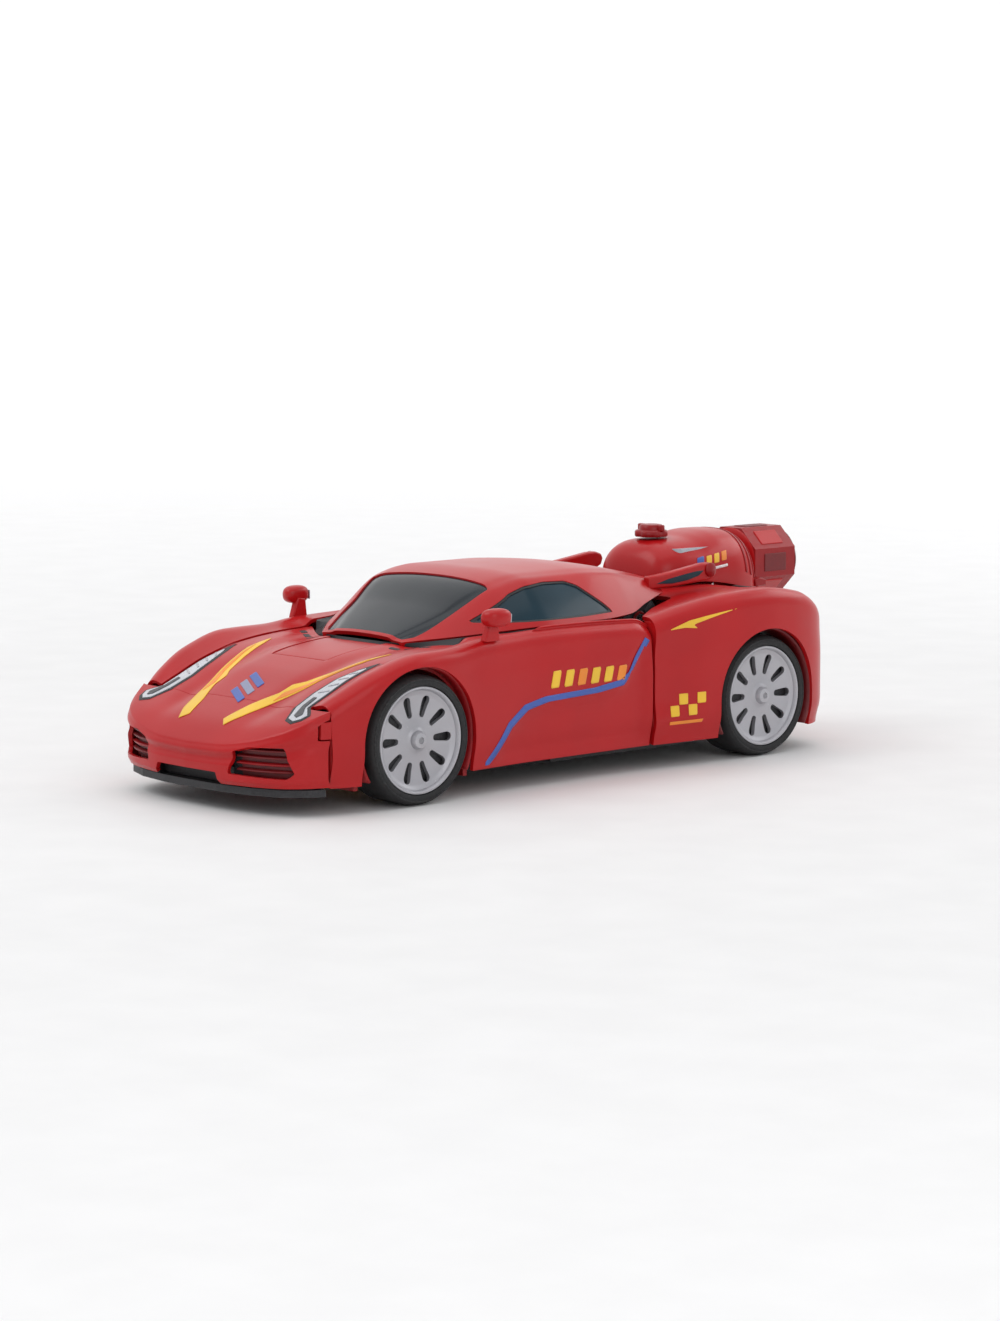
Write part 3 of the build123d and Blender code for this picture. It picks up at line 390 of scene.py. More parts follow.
def sheet(name, point, rows, cols, body, keep=None, material=RED, thick=1.5, bevel=0.25, sub=1,
          offset=0.0, closed=False, core=None, replaces=None, slotted=True):
    """Sheet point(row, col) on a grid, trimmed to keep(x, y, z) > 0 and thickened inward.

    core is a point the outer face looks away from, offset lifts the sheet along its normal,
    closed joins the last row to the first.
    """
    grid = [[point(row, col) for col in cols] for row in rows]
    count = len(rows)
    cells = [[(i, j), ((i + 1) % count, j), ((i + 1) % count, j + 1), (i, j + 1)]
             for i in range(count if closed else count - 1) for j in range(len(cols) - 1)]
    if keep:
        cells = trim_grid(grid, cells, point, rows, cols, keep, closed)
    draft = bmesh.new()
    verts = {}
    for cell in cells:
        for i, j in cell:
            if (i, j) not in verts:
                verts[i, j] = draft.verts.new(place(*grid[i][j]))
        draft.faces.new([verts[corner] for corner in cell])
    bmesh.ops.remove_doubles(draft, verts=draft.verts, dist=0.00003)
    bmesh.ops.dissolve_degenerate(draft, dist=0.00001, edges=draft.edges)
    bmesh.ops.recalc_face_normals(draft, faces=draft.faces)
    if core is not None:
        middle = place(*core)
        facing = sum(face.normal.dot((face.calc_center_median() - middle).normalized())
                     for face in draft.faces)
        if facing < 0:
            bmesh.ops.reverse_faces(draft, faces=draft.faces)
    if offset:
        draft.normal_update()
        for vert in draft.verts:
            vert.co = vert.co + vert.normal * offset / 1000.0
    part = make_object(draft, name, material)
    if thick:
        wall = part.modifiers.new("wall", "SOLIDIFY")
        wall.thickness = thick / 1000.0
        wall.offset = -1.0
        if bevel:
            round_edges(part, bevel, limit=55)
    if sub:
        smooth = part.modifiers.new("smooth", "SUBSURF")
        smooth.levels = smooth.render_levels = sub
    attach(part, body, replaces)


PLAIN = dict(bevel=0, sub=0)   # a sheet left as its bare grid


def side_print(name, outline, point, rows, cols, material, body, core):
    """Thin print on a side surface, cut to an outline of (y, z)."""
    distance = polygon_distance(outline)
    sheet(name, point, rows, cols, body, keep=lambda x, y, z: -distance(y, z),
          material=material, thick=0.12, offset=0.14, core=core, **PLAIN)


def lathe(name, profile, centre, axis, material, body, segments=64, sign=1.0, notch=None,
          closed=True, replaces=None):
    """Turned piece: profile of (radius, along) about a centre, on axis X, Y or Z.

    sign flips the profile along the axis; notch(point, segment) scales the radius.
    """
    cx, cy, cz = centre
    draft = bmesh.new()
    rings = []
    for k in range(segments):
        angle = 2 * pi * k / segments
        ring = []
        for i, (radius, along) in enumerate(profile):
            scaled = radius * (notch(i, k) if notch else 1.0)
            along *= sign
            first, second = scaled * cos(angle), scaled * sin(angle)
            if axis == "X":
                spot = (cx + along, cy + first, cz + second)
            elif axis == "Y":
                spot = (cx + first, cy + along, cz + second)
            else:
                spot = (cx + first, cy + second, cz + along)
            ring.append(draft.verts.new(place(*spot)))
        rings.append(ring)
    count = len(profile)
    for k, ring in enumerate(rings):
        after = rings[(k + 1) % segments]
        for i in range(count if closed else count - 1):
            j = (i + 1) % count
            draft.faces.new([ring[i], ring[j], after[j], after[i]])
    bmesh.ops.remove_doubles(draft, verts=draft.verts, dist=0.00001)
    bmesh.ops.recalc_face_normals(draft, faces=draft.faces)
    part = make_object(draft, name, material)
    part.data.set_sharp_from_angle(angle=radians(40))
    attach(part, body, replaces)


def cap_and_wall(draft, lower, upper):
    """Faces of a solid between two rings of vertices."""
    draft.faces.new(lower)
    draft.faces.new(upper)
    for i in range(len(lower)):
        j = (i + 1) % len(lower)
        draft.faces.new([lower[i], lower[j], upper[j], upper[i]])
    bmesh.ops.recalc_face_normals(draft, faces=draft.faces)


# an outline's two coordinates and the depth across it, as (x, y, z)
PLANES = {
    "side": lambda y, z, depth: (depth, y, z),
    "plan": lambda x, y, depth: (x, y, depth),
    "front": lambda x, z, depth: (x, depth, z),
}


def prism(name, outline, plane, start, end, material, body, bevel=0.3, segments=2):
    """Plate with rounded edges: an outline in a plane, from start to end across it."""
    draft = bmesh.new()
    lower, upper = [[draft.verts.new(place(*PLANES[plane](*corner, depth))) for corner in outline]
                    for depth in (start, end)]
    cap_and_wall(draft, lower, upper)
    part = make_object(draft, name, material)
    part.data.set_sharp_from_angle(angle=radians(35))
    round_edges(part, bevel, segments, limit=30)
    attach(part, body)


# ------------------------------------------------------------------ CAD pieces that stay
for subpart in frame["record"]["subparts"]:
    part = frame["nodes"][subpart["node"]]
    material = SLOT_MATERIAL[subpart["material_slot"]]
    if subpart["node"] == "mist_nozzle":
        material = CRIMSON
    part.data.materials.clear()
    part.data.materials.append(material)
    round_edges(part, 0.22, limit=40)

# ------------------------------------------------------------------ body lines
# each as (y, value), but nose_y, which is (x, y)
door_x = curve([(56.2, 52.0), (80, 51.8), (110, 51.8), (140, 53.5), (158, 55.5), (170, 56.0),
                (186, 55.0), (198, 52.5), (205, 50.0)])
panel_top = curve([(56.2, 51), (62, 53.6), (100, 54.4), (136, 53.4), (150, 51.6), (168, 51),
                   (185, 46.4), (198, 40), (205, 35.6)])
hood_top = curve([(128, 51), (152, 49.8), (168, 48), (185, 43.5), (198, 38), (208, 33.5),
                  (218, 28.5), (227, 21)])
rear_top = curve([(55.4, 54.6), (40, 57.8), (20, 60.6), (0, 61.5), (-20, 59), (-34, 54),
                  (-45, 46)])
nose_y = curve([(0, 226), (15, 225.5), (30, 223), (41, 218.5), (47, 212), (50, 205.2)])

# canopy stations: y, x and z of the sill, x and z of the roof edge, z of the ridge
CANOPY = [
    (30, 31, 60.5, 26, 64.8, 66),
    (45, 37, 58, 29, 68, 69.4),
    (58, 42.5, 55.6, 31.5, 70, 71.6),
    (75, 45.4, 55, 32.5, 71, 72.6),
    (100, 46.4, 55, 32.5, 71, 72.6),
    (113, 44.6, 54.6, 31.5, 68.8, 70.6),
    (130, 36.5, 53, 27, 59.6, 61.6),
    (148, 21, 50.6, 17, 51.4, 52.2),
]
sill_x, sill_z, edge_x, edge_z, ridge_z = (
    curve([(station[0], station[k]) for station in CANOPY]) for k in range(1, 6))


def wheel_arch(axle_y, min_x):
    """Distance from a wheel opening, which cuts only what lies outside min_x."""
    def distance(x, y, z):
        if abs(x) < min_x:
            return 5.0
        if z < AXLE_Z:
            return abs(y - axle_y) - ARCH_R
        return hypot(y - axle_y, z - AXLE_Z) - ARCH_R
    return distance


def arch_barrel(name, axle_y, inner_x, outer_x, material, body, sign):
    """Inner wall of a wheel arch, out to outer_x(y)."""
    def point(turn, depth):
        angle = radians(-29) + turn * radians(238)
        y = axle_y + BARREL_R * cos(angle)
        z = AXLE_Z + BARREL_R * sin(angle)
        return (sign * (inner_x + (outer_x(y) - inner_x) * depth), y, max(z, SKIRT_Z + 0.6))
    sheet(name, point, steps(0, 1, 60), steps(0, 1, 4), body, material=material, thick=0.8,
          core=(0, axle_y, AXLE_Z), **PLAIN)


# ------------------------------------------------------------------ side panels
PANEL_FLANK, PANEL_BEND = 0.66, 0.84   # rise where the flank and the rounded shoulder end
PANEL_ROUND = 5.0                      # height of the shoulder
crease_z = curve([(60, 47), (66, 40), (72, 32.5), (84, 30.6), (108, 29.6), (118, 27.5),
                  (126, 22), (133, 13), (138, 9)])
panel_inner_x = curve([(56.2, 47.6), (106, 47.6), (116, 46.0), (128, 41.2), (136, 40.5),
                       (205, 40.5)])
front_arch = wheel_arch(FRONT_AXLE_Y, min_x=47)


def panel_point(y, rise, sign=1.0):
    """Side panel: rise 0 at the skirt, up the flank, over the shoulder, 1 at the inner edge."""
    top = panel_top(y)
    outer = door_x(y)
    shoulder = top - PANEL_ROUND
    if rise <= PANEL_FLANK:
        z = SKIRT_Z + (shoulder - SKIRT_Z) * (rise / PANEL_FLANK)
        x = outer - 1.7 * ease(20, SKIRT_Z, z) - 0.7 * ease(shoulder - 12, shoulder, z)
        if 56 < y < 142:
            # the door is sunk below its crease
            below = crease_z(y) - z
            x -= (1.15 * ease(0.2, 4.5, below) * ease(10, 14.5, z) * ease(56.4, 62, y)
                  * ease(142, 132, y))
    elif rise <= PANEL_BEND:
        angle = (rise - PANEL_FLANK) / (PANEL_BEND - PANEL_FLANK) * pi / 2
        x = outer - 0.7 - 4.2 * (1 - cos(angle))
        z = shoulder + PANEL_ROUND * sin(angle)
    else:
        part = (rise - PANEL_BEND) / (1 - PANEL_BEND)
        start = outer - 4.9
        x = start + (panel_inner_x(y) - start) * part
        drop = max(0.0, top - (hood_top(y) + 0.15)) if y > 139 else 0.0
        z = top - drop * ease(0.15, 1.0, part) - (0.5 * part if y <= 139 else 0.0)
    return (sign * x, y, z)


def mirror(side, sign, body):
    """Door mirror: a rounded pod on a raked stalk, with its glass facing back."""
    middle_x, middle_y, middle_z = 53.0, 133.2, 60.6
    power = 0.75

    def point(turn, across):
        around, tilt = turn * 2 * pi, (across - 0.5) * pi
        ring = abs(cos(tilt)) ** power
        x = middle_x + 3.5 * signed_power(sin(tilt), power)
        y = middle_y + 5.4 * ring * signed_power(cos(around), power) - 0.18 * (x - middle_x)
        z = middle_z + 3.3 * ring * signed_power(sin(around), power)
        return (sign * x, y, z)
    sheet("mirror_pod_" + side, point, turn_steps(20), steps(0.0, 1.0, 12), body, thick=0,
          closed=True)
    prism("mirror_stalk_" + side, [(137.4, 52.4), (130.6, 52.4), (131.4, 59.2), (135.0, 59.8)],
          "side", sign * 49.4, sign * 52.2, RED, body, bevel=0.5)
    glass = [(50.6, 58.7), (55.6, 58.9), (55.8, 61.8), (50.6, 62.0)]
    prism("mirror_glass_" + side, mirrored(glass, sign), "front", 128.35, 128.75, SILVER, body,
          bevel=0.15)


# middle of the line printed along the door crease, (y, z)
DOOR_LINE = [(60, 45.5), (64.2, 40.6), (67.5, 35.4), (71.5, 33.0), (84, 31.4), (108, 30.4),
             (118, 28.4), (126, 23), (133, 14)]


def door_prints(side, sign, body):
    """Blue line along the door crease and a row of slanted bars above it."""
    def point(y, z):
        rise = PANEL_FLANK * (z - SKIRT_Z) / (panel_top(y) - (SKIRT_Z + PANEL_ROUND))
        return panel_point(y, clamp(rise, 0.0, PANEL_FLANK), sign)

    def door_print(name, outline, material, row_count, col_count):
        side_print(f"{name}_{side}", outline, point, outline_steps(outline, 0, 0.6, row_count),
                   outline_steps(outline, 1, 0.6, col_count), material, body, (0, 110, 25))

    lower = [(56.9, 47.6)] + [(y - 0.9, z - 1.0) for y, z in DOOR_LINE] + [(135.2, 10.2)]
    upper = [(138.0, 10.2)] + [(y + 0.9, z + 1.0) for y, z in reversed(DOOR_LINE)] + [(58.6, 49.4)]
    door_print("door_line", lower + upper, INK_BLUE, 110, 44)
    for k in range(6):
        y = 70.5 + 6.4 * k
        top = 36.9 + 0.15 * k
        bar = [(y, 34.0), (y + 3.9, 33.8), (y + 2.5, top + 2.1), (y - 1.4, top + 2.3)]
        door_print(f"door_bar_{k}", bar, INK_YELLOW if k % 3 else INK_ORANGE, 12, 12)


def side_panel(side, sign):
    body = "panel_" + side
    sheet("body_side_" + side, lambda y, rise: panel_point(y, rise, sign),
          steps(56.3, 203.9, 66), steps(0, 1, 26), body, keep=front_arch,
          replaces="side_panel_" + side, core=(0, 130, 20))
    wall = [(40.6, 9.2), (48.7, 9.2), (49.2, 14), (49.2, 29), (46.4, 33.6), (40.6, 33.8)]
    prism("panel_front_wall_" + side, mirrored(wall, sign), "front", 202.1, 203.7, RED, body)
    # fills the notch in the bumper when the panel is shut
    block = [(46.9, 203.4), (49.7, 203.4), (49.75, 204.6), (49.35, 206.0), (48.7, 207.5),
             (47.4, 207.5)]
    prism("notch_block_" + side, mirrored(block, sign), "plan", 25.5, 31.3, RED, body,
          bevel=0.25)
    arch_barrel("arch_barrel_" + side, FRONT_AXLE_Y, 37.2,
                lambda y: panel_point(y, 0.5)[0] - 1.6, CRIMSON, body, sign)
    mirror(side, sign, body)
    door_prints(side, sign, body)


for side, sign in SIDES:
    side_panel(side, sign)

# ------------------------------------------------------------------ hood and nose
HOOD_X = 39.6           # half width of the hood
NOSE_X = 50.0           # half width of the nose
HOOD_FRONT_Y = 205.2
LIP_START = 0.78        # run where the nose leaves the hood; it turns down at 1
hood_rear_y = curve([(0, 150.2), (14, 149.4), (22, 147.0), (30, 143.4), (36, 139.4),
                     (39.8, 136.8)])
hatch_hole = polygon_distance([(-14.7, 140), (14.7, 140), (14.7, 176.5), (-14.7, 176.5)])
intake = polygon_distance([(21.0, 13.2), (23.5, 21.0), (30, 22.8), (41.5, 23.0), (44.5, 14.5),
                           (43.0, 12.6)])
mouth = polygon_distance([(-18.5, 6.0), (-15.5, 13.2), (15.5, 13.2), (18.5, 6.0)])


def hood_z(x, y):
    """Height of the hood, with a shallow valley to each side and a slight crown."""
    out = abs(x)
    z = hood_top(y)
    z -= 1.15 * exp(-((out - 21.5 - (226 - y) * 0.04) / 5.2) ** 2) * ease(224, 205, y)
    z -= 0.25 * (out / 40) ** 2
    return z


def hood_point(across, run):
    """Hood: across -1 to 1, run 0 at the rear edge and 1 at the front."""
    x = HOOD_X * across
    rear = hood_rear_y(abs(x))
    y = rear + (HOOD_FRONT_Y - rear) * run
    return (x, y, hood_z(x, y))


def nose_point(across, run):
    """Nose: a lip on from the hood up to run 1, then down the bumper to 2."""
    x = NOSE_X * across
    tip = nose_y(abs(x))
    if run <= 1.0:
        part = (run - LIP_START) / (1 - LIP_START)
        start = min(204.75, tip - 1.1)
        y = start + (tip - 1.0 - start) * part
        tuck = 0.14 * ease(205.6, 204.9, y) * ease(40.4, HOOD_X, abs(x))
        return (x, y, hood_z(x, y) - 0.6 * ease(0.7, 1.0, part) - tuck)
    part = run - 1.0
    top = hood_z(x, tip - 1.0) - 0.6
    y = (tip - 1.0 * (1 - ease(0.0, 0.18, part))
         - 0.9 * ease(0.18, 0.34, part) * (1 - ease(0.34, 0.52, part))
         - 1.2 * ease(0.86, 1.0, part))
    return (x, y, top + (9.1 - top) * part)


def bumper_keep(x, y, z):
    notch = max(36 - abs(x), y - 208.6, abs(z - 28.4) - 3.3)
    return min(intake(abs(x), z), mouth(x, z), notch)


sheet("hood_skin", hood_point, steps(-1, 1, 56), steps(0, 1, 46), "hood",
      keep=lambda x, y, z: hatch_hole(x, y), thick=1.2, bevel=0.1, replaces="hood_shell",
      core=(0, 180, -60))
sheet("nose_skin", nose_point, steps(-0.998, 0.998, 96), steps(0.785, 1.98, 52), "hood",
      keep=bumper_keep, core=(0, 180, 10))
sheet("hatch_skin", lambda x, y: (x, y, hood_z(x, y) - 0.15), steps(-14.1, 14.1, 24),
      steps(151.2, 176.0, 22), "head", thick=1.3, core=(0, 165, -60))
prism("hatch_web", [(151.6, 46.8), (174.6, 45.4), (174.6, 44.6), (151.6, 45.8)], "side",
      -13.2, 13.2, BLACK, "head", bevel=0.2)
prism("mouth_back", [(-26.5, 6.4), (-26.5, 14.6), (26.5, 14.6), (26.5, 6.4)], "front",
      218.0, 219.0, BLACK, "hood", bevel=0.2)

# scuttle between the foot of the canopy and the hood and doors:
# x and y of its inner edge, x and y of its outer edge
SCUTTLE = [
    (0, 148.0, 0, 149.5), (12, 148.0, 12, 148.9), (21, 147.4, 22, 146.4),
    (27, 142.6, 30, 142.6), (32, 137.0, 35.6, 138.8), (36.4, 130.4, 39.4, 134.6),
    (40.8, 122.4, 40.9, 128.8), (44.4, 113.6, 44.8, 118.4), (46.0, 105.0, 46.9, 105.0),
]


def scuttle_point(across, depth):
    station = abs(across) * (len(SCUTTLE) - 1)
    i = min(len(SCUTTLE) - 2, int(station))
    inner_x, inner_y, outer_x, outer_y = [
        a + (b - a) * (station - i) for a, b in zip(SCUTTLE[i], SCUTTLE[i + 1])]
    x = inner_x + (outer_x - inner_x) * depth
    y = inner_y + (outer_y - inner_y) * depth
    inner_z = sill_z(inner_y) - 0.5
    outer_z = (hood_z(outer_x, outer_y) if outer_y > 136 else panel_top(outer_y)) - 0.9
    z = inner_z + (outer_z - inner_z) * depth - 0.5 * sin(pi * depth)
    return (copysign(x, across), y, z)


sheet("scuttle", scuttle_point, steps(-1, 1, 64), steps(0, 1, 4), "canopy", thick=0.7,
      bevel=0.15, material=BLACK, core=(0, 120, 20))


def corner_intake(side, sign):
    """Slats and backing of the opening in a corner of the bumper."""
    for k in range(4):
        foot = 14.2 + 2.3 * k

        def slat(across, depth):
            x = 22.5 + 20.0 * across
            y = nose_y(x) - 2.2 - 1.0 * abs(across - 0.5) - depth * 1.6
            return (sign * x, y, foot + 0.55 * depth)
        # painted shade: all slats but the second take the darkened crimson
        sheet(f"intake_slat_{side}_{k}", slat, steps(0, 1, 16), steps(0, 1, 2), "hood",
              thick=0.7, material=SHADED_CRIMSON if k != 1 else CRIMSON, core=(0, 180, 40))

    def back(across, rise):
        x = 20.5 + 24.0 * across
        return (sign * x, nose_y(x) - 4.2, 12.2 + 11.0 * rise)
    # painted shade: the backing of the intake takes the darkened crimson
    sheet("intake_back_" + side, back, steps(0, 1, 12), steps(0, 1, 4), "hood", thick=0.6,
          material=SHADED_CRIMSON, core=(0, 180, 15))


for side, sign in SIDES:
    corner_intake(side, sign)


def hood_inlay(name, outline, material, offset, row_count, col_count, thick=0.12, sign=1.0,
               replaces=None, slotted=True):
    """Piece lying on the hood, cut to an outline of (x, y)."""
    outline = mirrored(outline, sign)
    distance = polygon_distance(outline)
    ys = [y for _, y in outline]
    sheet(name, lambda x, y: (x, y, hood_z(x, y)), outline_steps(outline, 0, 0.5, row_count),
          outline_steps(outline, 1, 0.5, col_count), "hood",
          keep=lambda x, y, z: -distance(x, y), material=material, thick=thick, offset=offset,
          core=(0, (min(ys) + max(ys)) / 2, -200), replaces=replaces, slotted=slotted, **PLAIN)


# headlamp and flame outlines on the left half of the hood, (x, y)
LAMP_BEZEL = [(44.2, 208.2), (43.4, 211.4), (40.6, 213.8), (36.4, 212.6), (32.8, 206),
              (31.8, 197), (33.0, 187), (35.6, 178.4), (38.2, 172.4), (38.9, 176), (39.3, 190),
              (39.5, 204.2), (41.8, 205.9)]
LAMP_LENS = [(43.0, 208.4), (42.2, 210.8), (40.2, 212.4), (37.0, 211.4), (34.0, 205.4),
             (33.1, 197), (34.2, 187.8), (36.4, 180.6), (37.8, 178.0), (38.4, 190),
             (38.7, 204.8), (41.2, 206.9)]
LAMP_CORE = [(40.9, 208.6), (39.9, 210.6), (38.0, 209.8), (36.0, 204.4), (35.6, 199.4),
             (37.0, 199.0), (37.8, 204.6), (39.4, 206.8)]
YELLOW_STREAK = [(9.0, 216.5), (12.0, 219.0), (15.5, 214), (19.0, 206), (24.5, 192),
                 (30.5, 174), (32.5, 160), (29.0, 168), (25.0, 180), (20.5, 190),
                 (17.5, 193.5), (17.0, 199), (12.0, 208)]
ORANGE_STREAK = [(18.8, 203.6), (23.4, 193), (28.6, 178), (31.0, 168), (27.6, 178),
                 (22.8, 190), (18.4, 198)]


def hood_side(side, sign):
    """Swept-back headlamp, flame streaks and cowl slots of one side."""
    hood_inlay("lamp_bezel_" + side, LAMP_BEZEL, BLACK, 0.10, 56, 120, thick=0.5, sign=sign)
    hood_inlay("lamp_lens_" + side, LAMP_LENS, LAMP, 0.42, 56, 120, thick=0.5, sign=sign,
               replaces="headlights" if sign > 0 else None)
    hood_inlay("lamp_core_" + side, LAMP_CORE, GREY, 0.62, 26, 36, thick=0.2, sign=sign)
    for k in range(4):
        x, y = 34.4 + 0.35 * k, 196.0 - 4.2 * k
        flute = [(x, y), (37.8, y - 1.8), (37.9, y - 1.1), (x + 0.1, y + 0.7)]
        hood_inlay(f"lamp_flute_{side}_{k}", flute, SILVER, 0.60, 12, 12, thick=0.15, sign=sign)
    hood_inlay("streak_yellow_" + side, YELLOW_STREAK, INK_YELLOW, 0.16, 46, 70, sign=sign)
    hood_inlay("streak_orange_" + side, ORANGE_STREAK, INK_ORANGE, 0.24, 40, 60, sign=sign)
    for k in range(3):
        x, inner_y, outer_y = 20 + 5 * k, 151.6 - 2.4 * k, 150.2 - 2.6 * k
        slot = [(x, inner_y), (x + 3.6, outer_y), (x + 4.4, outer_y + 2.2),
                (x + 0.8, inner_y + 2.2)]
        hood_inlay(f"cowl_slot_{side}_{k}", slot, BLACK, 0.08, 10, 10, thick=0.1, sign=sign,
                   slotted=False)


for side, sign in SIDES:
    hood_side(side, sign)

# three slanted bars across the middle of the hood
for k, material in enumerate((INK_BLUE, INK_GREY, INK_BLUE)):
    y = 190.0 + 4.6 * k
    right, left = -6.0 + 0.6 * k, 5.0 + 0.4 * k
    hood_inlay(f"hood_bar_{k}", [(right, y), (left, y + 5.4), (left, y + 8.4), (right, y + 3.0)],
               material, 0.16, 26, 24)

# ------------------------------------------------------------------ rear body
# left half of the rear body in plan, from the door round to the middle of the tail, (x, y)
REAR_PATH = [(53.0, 55.4), (54.6, 38), (55.6, 25), (56.8, 8), (57.0, 0), (56.4, -12),
             (55.0, -22), (53.0, -29), (50.0, -34), (46.5, -37.6), (42.0, -40), (34, -41.8),
             (25.0, -43), (12, -43.8), (0.0, -44)]
RUNS = [0.0]            # distance along the path at each point
for (ax, ay), (bx, by) in zip(REAR_PATH, REAR_PATH[1:]):
    RUNS.append(RUNS[-1] + hypot(bx - ax, by - ay))
path_x = curve([(run, x) for run, (x, _) in zip(RUNS, REAR_PATH)])
path_y = curve([(run, y) for run, (_, y) in zip(RUNS, REAR_PATH)])
# the flank's run, looked up by -y
run_at = curve([(-y, run) for run, (_, y) in zip(RUNS[:8], REAR_PATH[:8])])

REAR_FLANK, REAR_BEND = 0.6, 0.16   # shares of the rise in the flank and in the shoulder
REAR_ROUND = 6.0                    # height of the shoulder
TURN_Y = -20                        # behind this the body turns in to the tail


def rear_point(run, rise, sign=1.0):
    """Rear body: rise 0 at the skirt, up the flank, over the shoulder, 1 at the centre line."""
    x, y = path_x(run), path_y(run)
    out_x = x / 57.0 if y > TURN_Y else max(0.0, x - 30) / 27.0
    out_y = min(0.0, (y - TURN_Y) / 24.0)
    length = hypot(out_x, out_y) or 1.0
    out_x /= length
    out_y /= length
    top = rear_top(y)
    shoulder = top - REAR_ROUND
    if rise <= REAR_FLANK + REAR_BEND:
        if rise <= REAR_FLANK:
            z = SKIRT_Z + (shoulder - SKIRT_Z) * rise / REAR_FLANK
            inset = 1.6 * ease(18, SKIRT_Z, z) + 0.5 * ease(shoulder - 14, shoulder, z)
            inset += 0.9 * ease(30, 52, y) * ease(16, 26, z) * ease(48, 40, z)
        else:
            angle = (rise - REAR_FLANK) / REAR_BEND * pi / 2
            inset = 0.5 + 5.2 * (1 - cos(angle))
            z = shoulder + REAR_ROUND * sin(angle)
        return (sign * (x - inset * out_x), y - inset * out_y, z)
    part = (rise - (REAR_FLANK + REAR_BEND)) / 0.24
    edge_y = y - 5.7 * out_y
    deck_x = (x - 5.7 * out_x) * (1 - part)
    deck_y = edge_y + (max(edge_y, -34.0) - edge_y) * part
    z = top if y > TURN_Y else top + (rear_top(deck_y) - top) * ease(0, 0.9, part)
    return (sign * deck_x, deck_y, z - 1.3 * ease(0.0, 0.35, part))


top_opening = polygon_distance([(-60, 27.6), (33.7, 27.6), (39.8, 45), (45.8, 56), (45.8, 70),
                                (-60, 70)])
tail_window = polygon_distance([(23.6, 35.6), (38.4, 35.6), (38.4, 41.4), (23.6, 41.4)])
tail_mouth = polygon_distance([(-22.2, 5.0), (-19.8, 16.4), (19.8, 16.4), (22.2, 5.0)])
rear_arch = wheel_arch(REAR_AXLE_Y, min_x=35)


def rear_keep(x, y, z):
    distance = rear_arch(x, y, z)
    if y < -34:
        distance = min(distance, tail_window(abs(x), z), tail_mouth(x, z))
    if z > 48:
        distance = min(distance, top_opening(abs(x), y))
    return distance


def flank_prints(side, sign):
    """Checks, a rule and a shoulder streak on the rear flank."""
    def point(y, z):
        run = run_at(-y)
        top = rear_top(path_y(run))
        rise = REAR_FLANK * (z - SKIRT_Z) / (top - (SKIRT_Z + REAR_ROUND))
        if rise > REAR_FLANK:
            part = clamp((z - (top - REAR_ROUND)) / REAR_ROUND, 0.0, 1.0)
            rise = REAR_FLANK + REAR_BEND * asin(part) / (pi / 2)
        return rear_point(run, clamp(rise, 0.0, REAR_FLANK + REAR_BEND), sign)

    def flank_print(name, outline, material, row_count, col_count):
        side_print(f"{name}_{side}", outline, point, outline_steps(outline, 0, 0.6, row_count),
                   outline_steps(outline, 1, 0.6, col_count), material, "rear_chassis",
                   (0, 20, 25))

    pitch, size = 4.1, 3.9
    for i in range(4):
        for j in range(2):
            if (i + j) % 2 == 0:
                y, z = 48.6 - pitch * i, 18.6 + pitch * j
                check = [(y, z), (y - size, z), (y - size, z + size), (y, z + size)]
                flank_print(f"flank_check_{i}{j}", check, INK_YELLOW, 12, 12)
    flank_print("flank_rule", [(49.2, 16.9), (33.6, 16.9), (34.2, 15.8), (49.2, 15.8)],
                INK_ORANGE, 24, 20)
    streak = [(50, 49.6), (40, 52.6), (30, 54.0), (16, 55.6), (30, 52.8), (38, 51.0),
              (36, 49.6), (42, 50.2)]
    flank_print("shoulder_streak", streak, INK_YELLOW, 50, 24)


for side, sign in SIDES:
    sheet("rear_skin_" + side, lambda run, rise: rear_point(run, rise, sign),
          steps(0.05, RUNS[-1], 84), steps(0, 1, 44), "rear_chassis", keep=rear_keep,
          core=(0, 5, 10), replaces="rear_body_shell" if sign > 0 else None)
    # painted shade: the rear arch wall takes the darkened crimson
    arch_barrel("rear_barrel_" + side, REAR_AXLE_Y, 38.0, lambda y: 53.4, SHADED_CRIMSON,
                "rear_chassis", sign)
    flank_prints(side, sign)

# recessed flanks that the doors cover, with the step behind them and three creases
for side, sign in SIDES:
    flank = [(52.5, SKIRT_Z), (99.8, SKIRT_Z), (95.8, 30.0), (87.8, 49.2), (52.5, 49.2)]
    prism("front_flank_" + side, flank, "side", sign * 46.05, sign * 48.35, RED,
          "rear_chassis", bevel=0.5)
    prism("flank_step_" + side, [(53.0, 9.2), (55.2, 9.2), (55.2, 53.0), (53.0, 53.0)], "side",
          sign * 46.1, sign * 51.2, RED, "rear_chassis")
    for k in range(3):
        y, z = 93 - 2.2 * k, 13.5 + 10.5 * k
        prism(f"flank_crease_{side}_{k}", [(60, z), (y, z), (y - 0.4, z + 0.8), (60, z + 0.8)],
              "side", sign * 48.2, sign * 48.7, CRIMSON, "rear_chassis", bevel=0.15)

# frames round the tail windows
for side, sign in SIDES:
    sheet("tail_bezel_" + side, lambda run, rise: rear_point(run, rise, sign),
          steps(RUNS[9] - 1, RUNS[13] + 2, 60), steps(0.42, 0.60, 30), "rear_chassis",
          keep=lambda x, y, z: 0.75 - abs(tail_window(abs(x), z) - 0.15), thick=0.6,
          material=BLACK, offset=0.25, core=(0, 5, 30), **PLAIN)
# ribs between the tail windows
for k in range(3):
    foot = 36.4 + 1.9 * k
    sheet(f"tail_rib_{k}",
          lambda across, rise: (19.5 * across,
                                -43.35 - 0.45 * (1 - across * across) - 0.45 * sin(pi * rise),
                                foot + 0.9 * rise),
          steps(-1, 1, 24), steps(0, 1, 5), "rear_chassis", thick=0.5, material=BLACK,
          core=(0, 0, 38), **PLAIN)
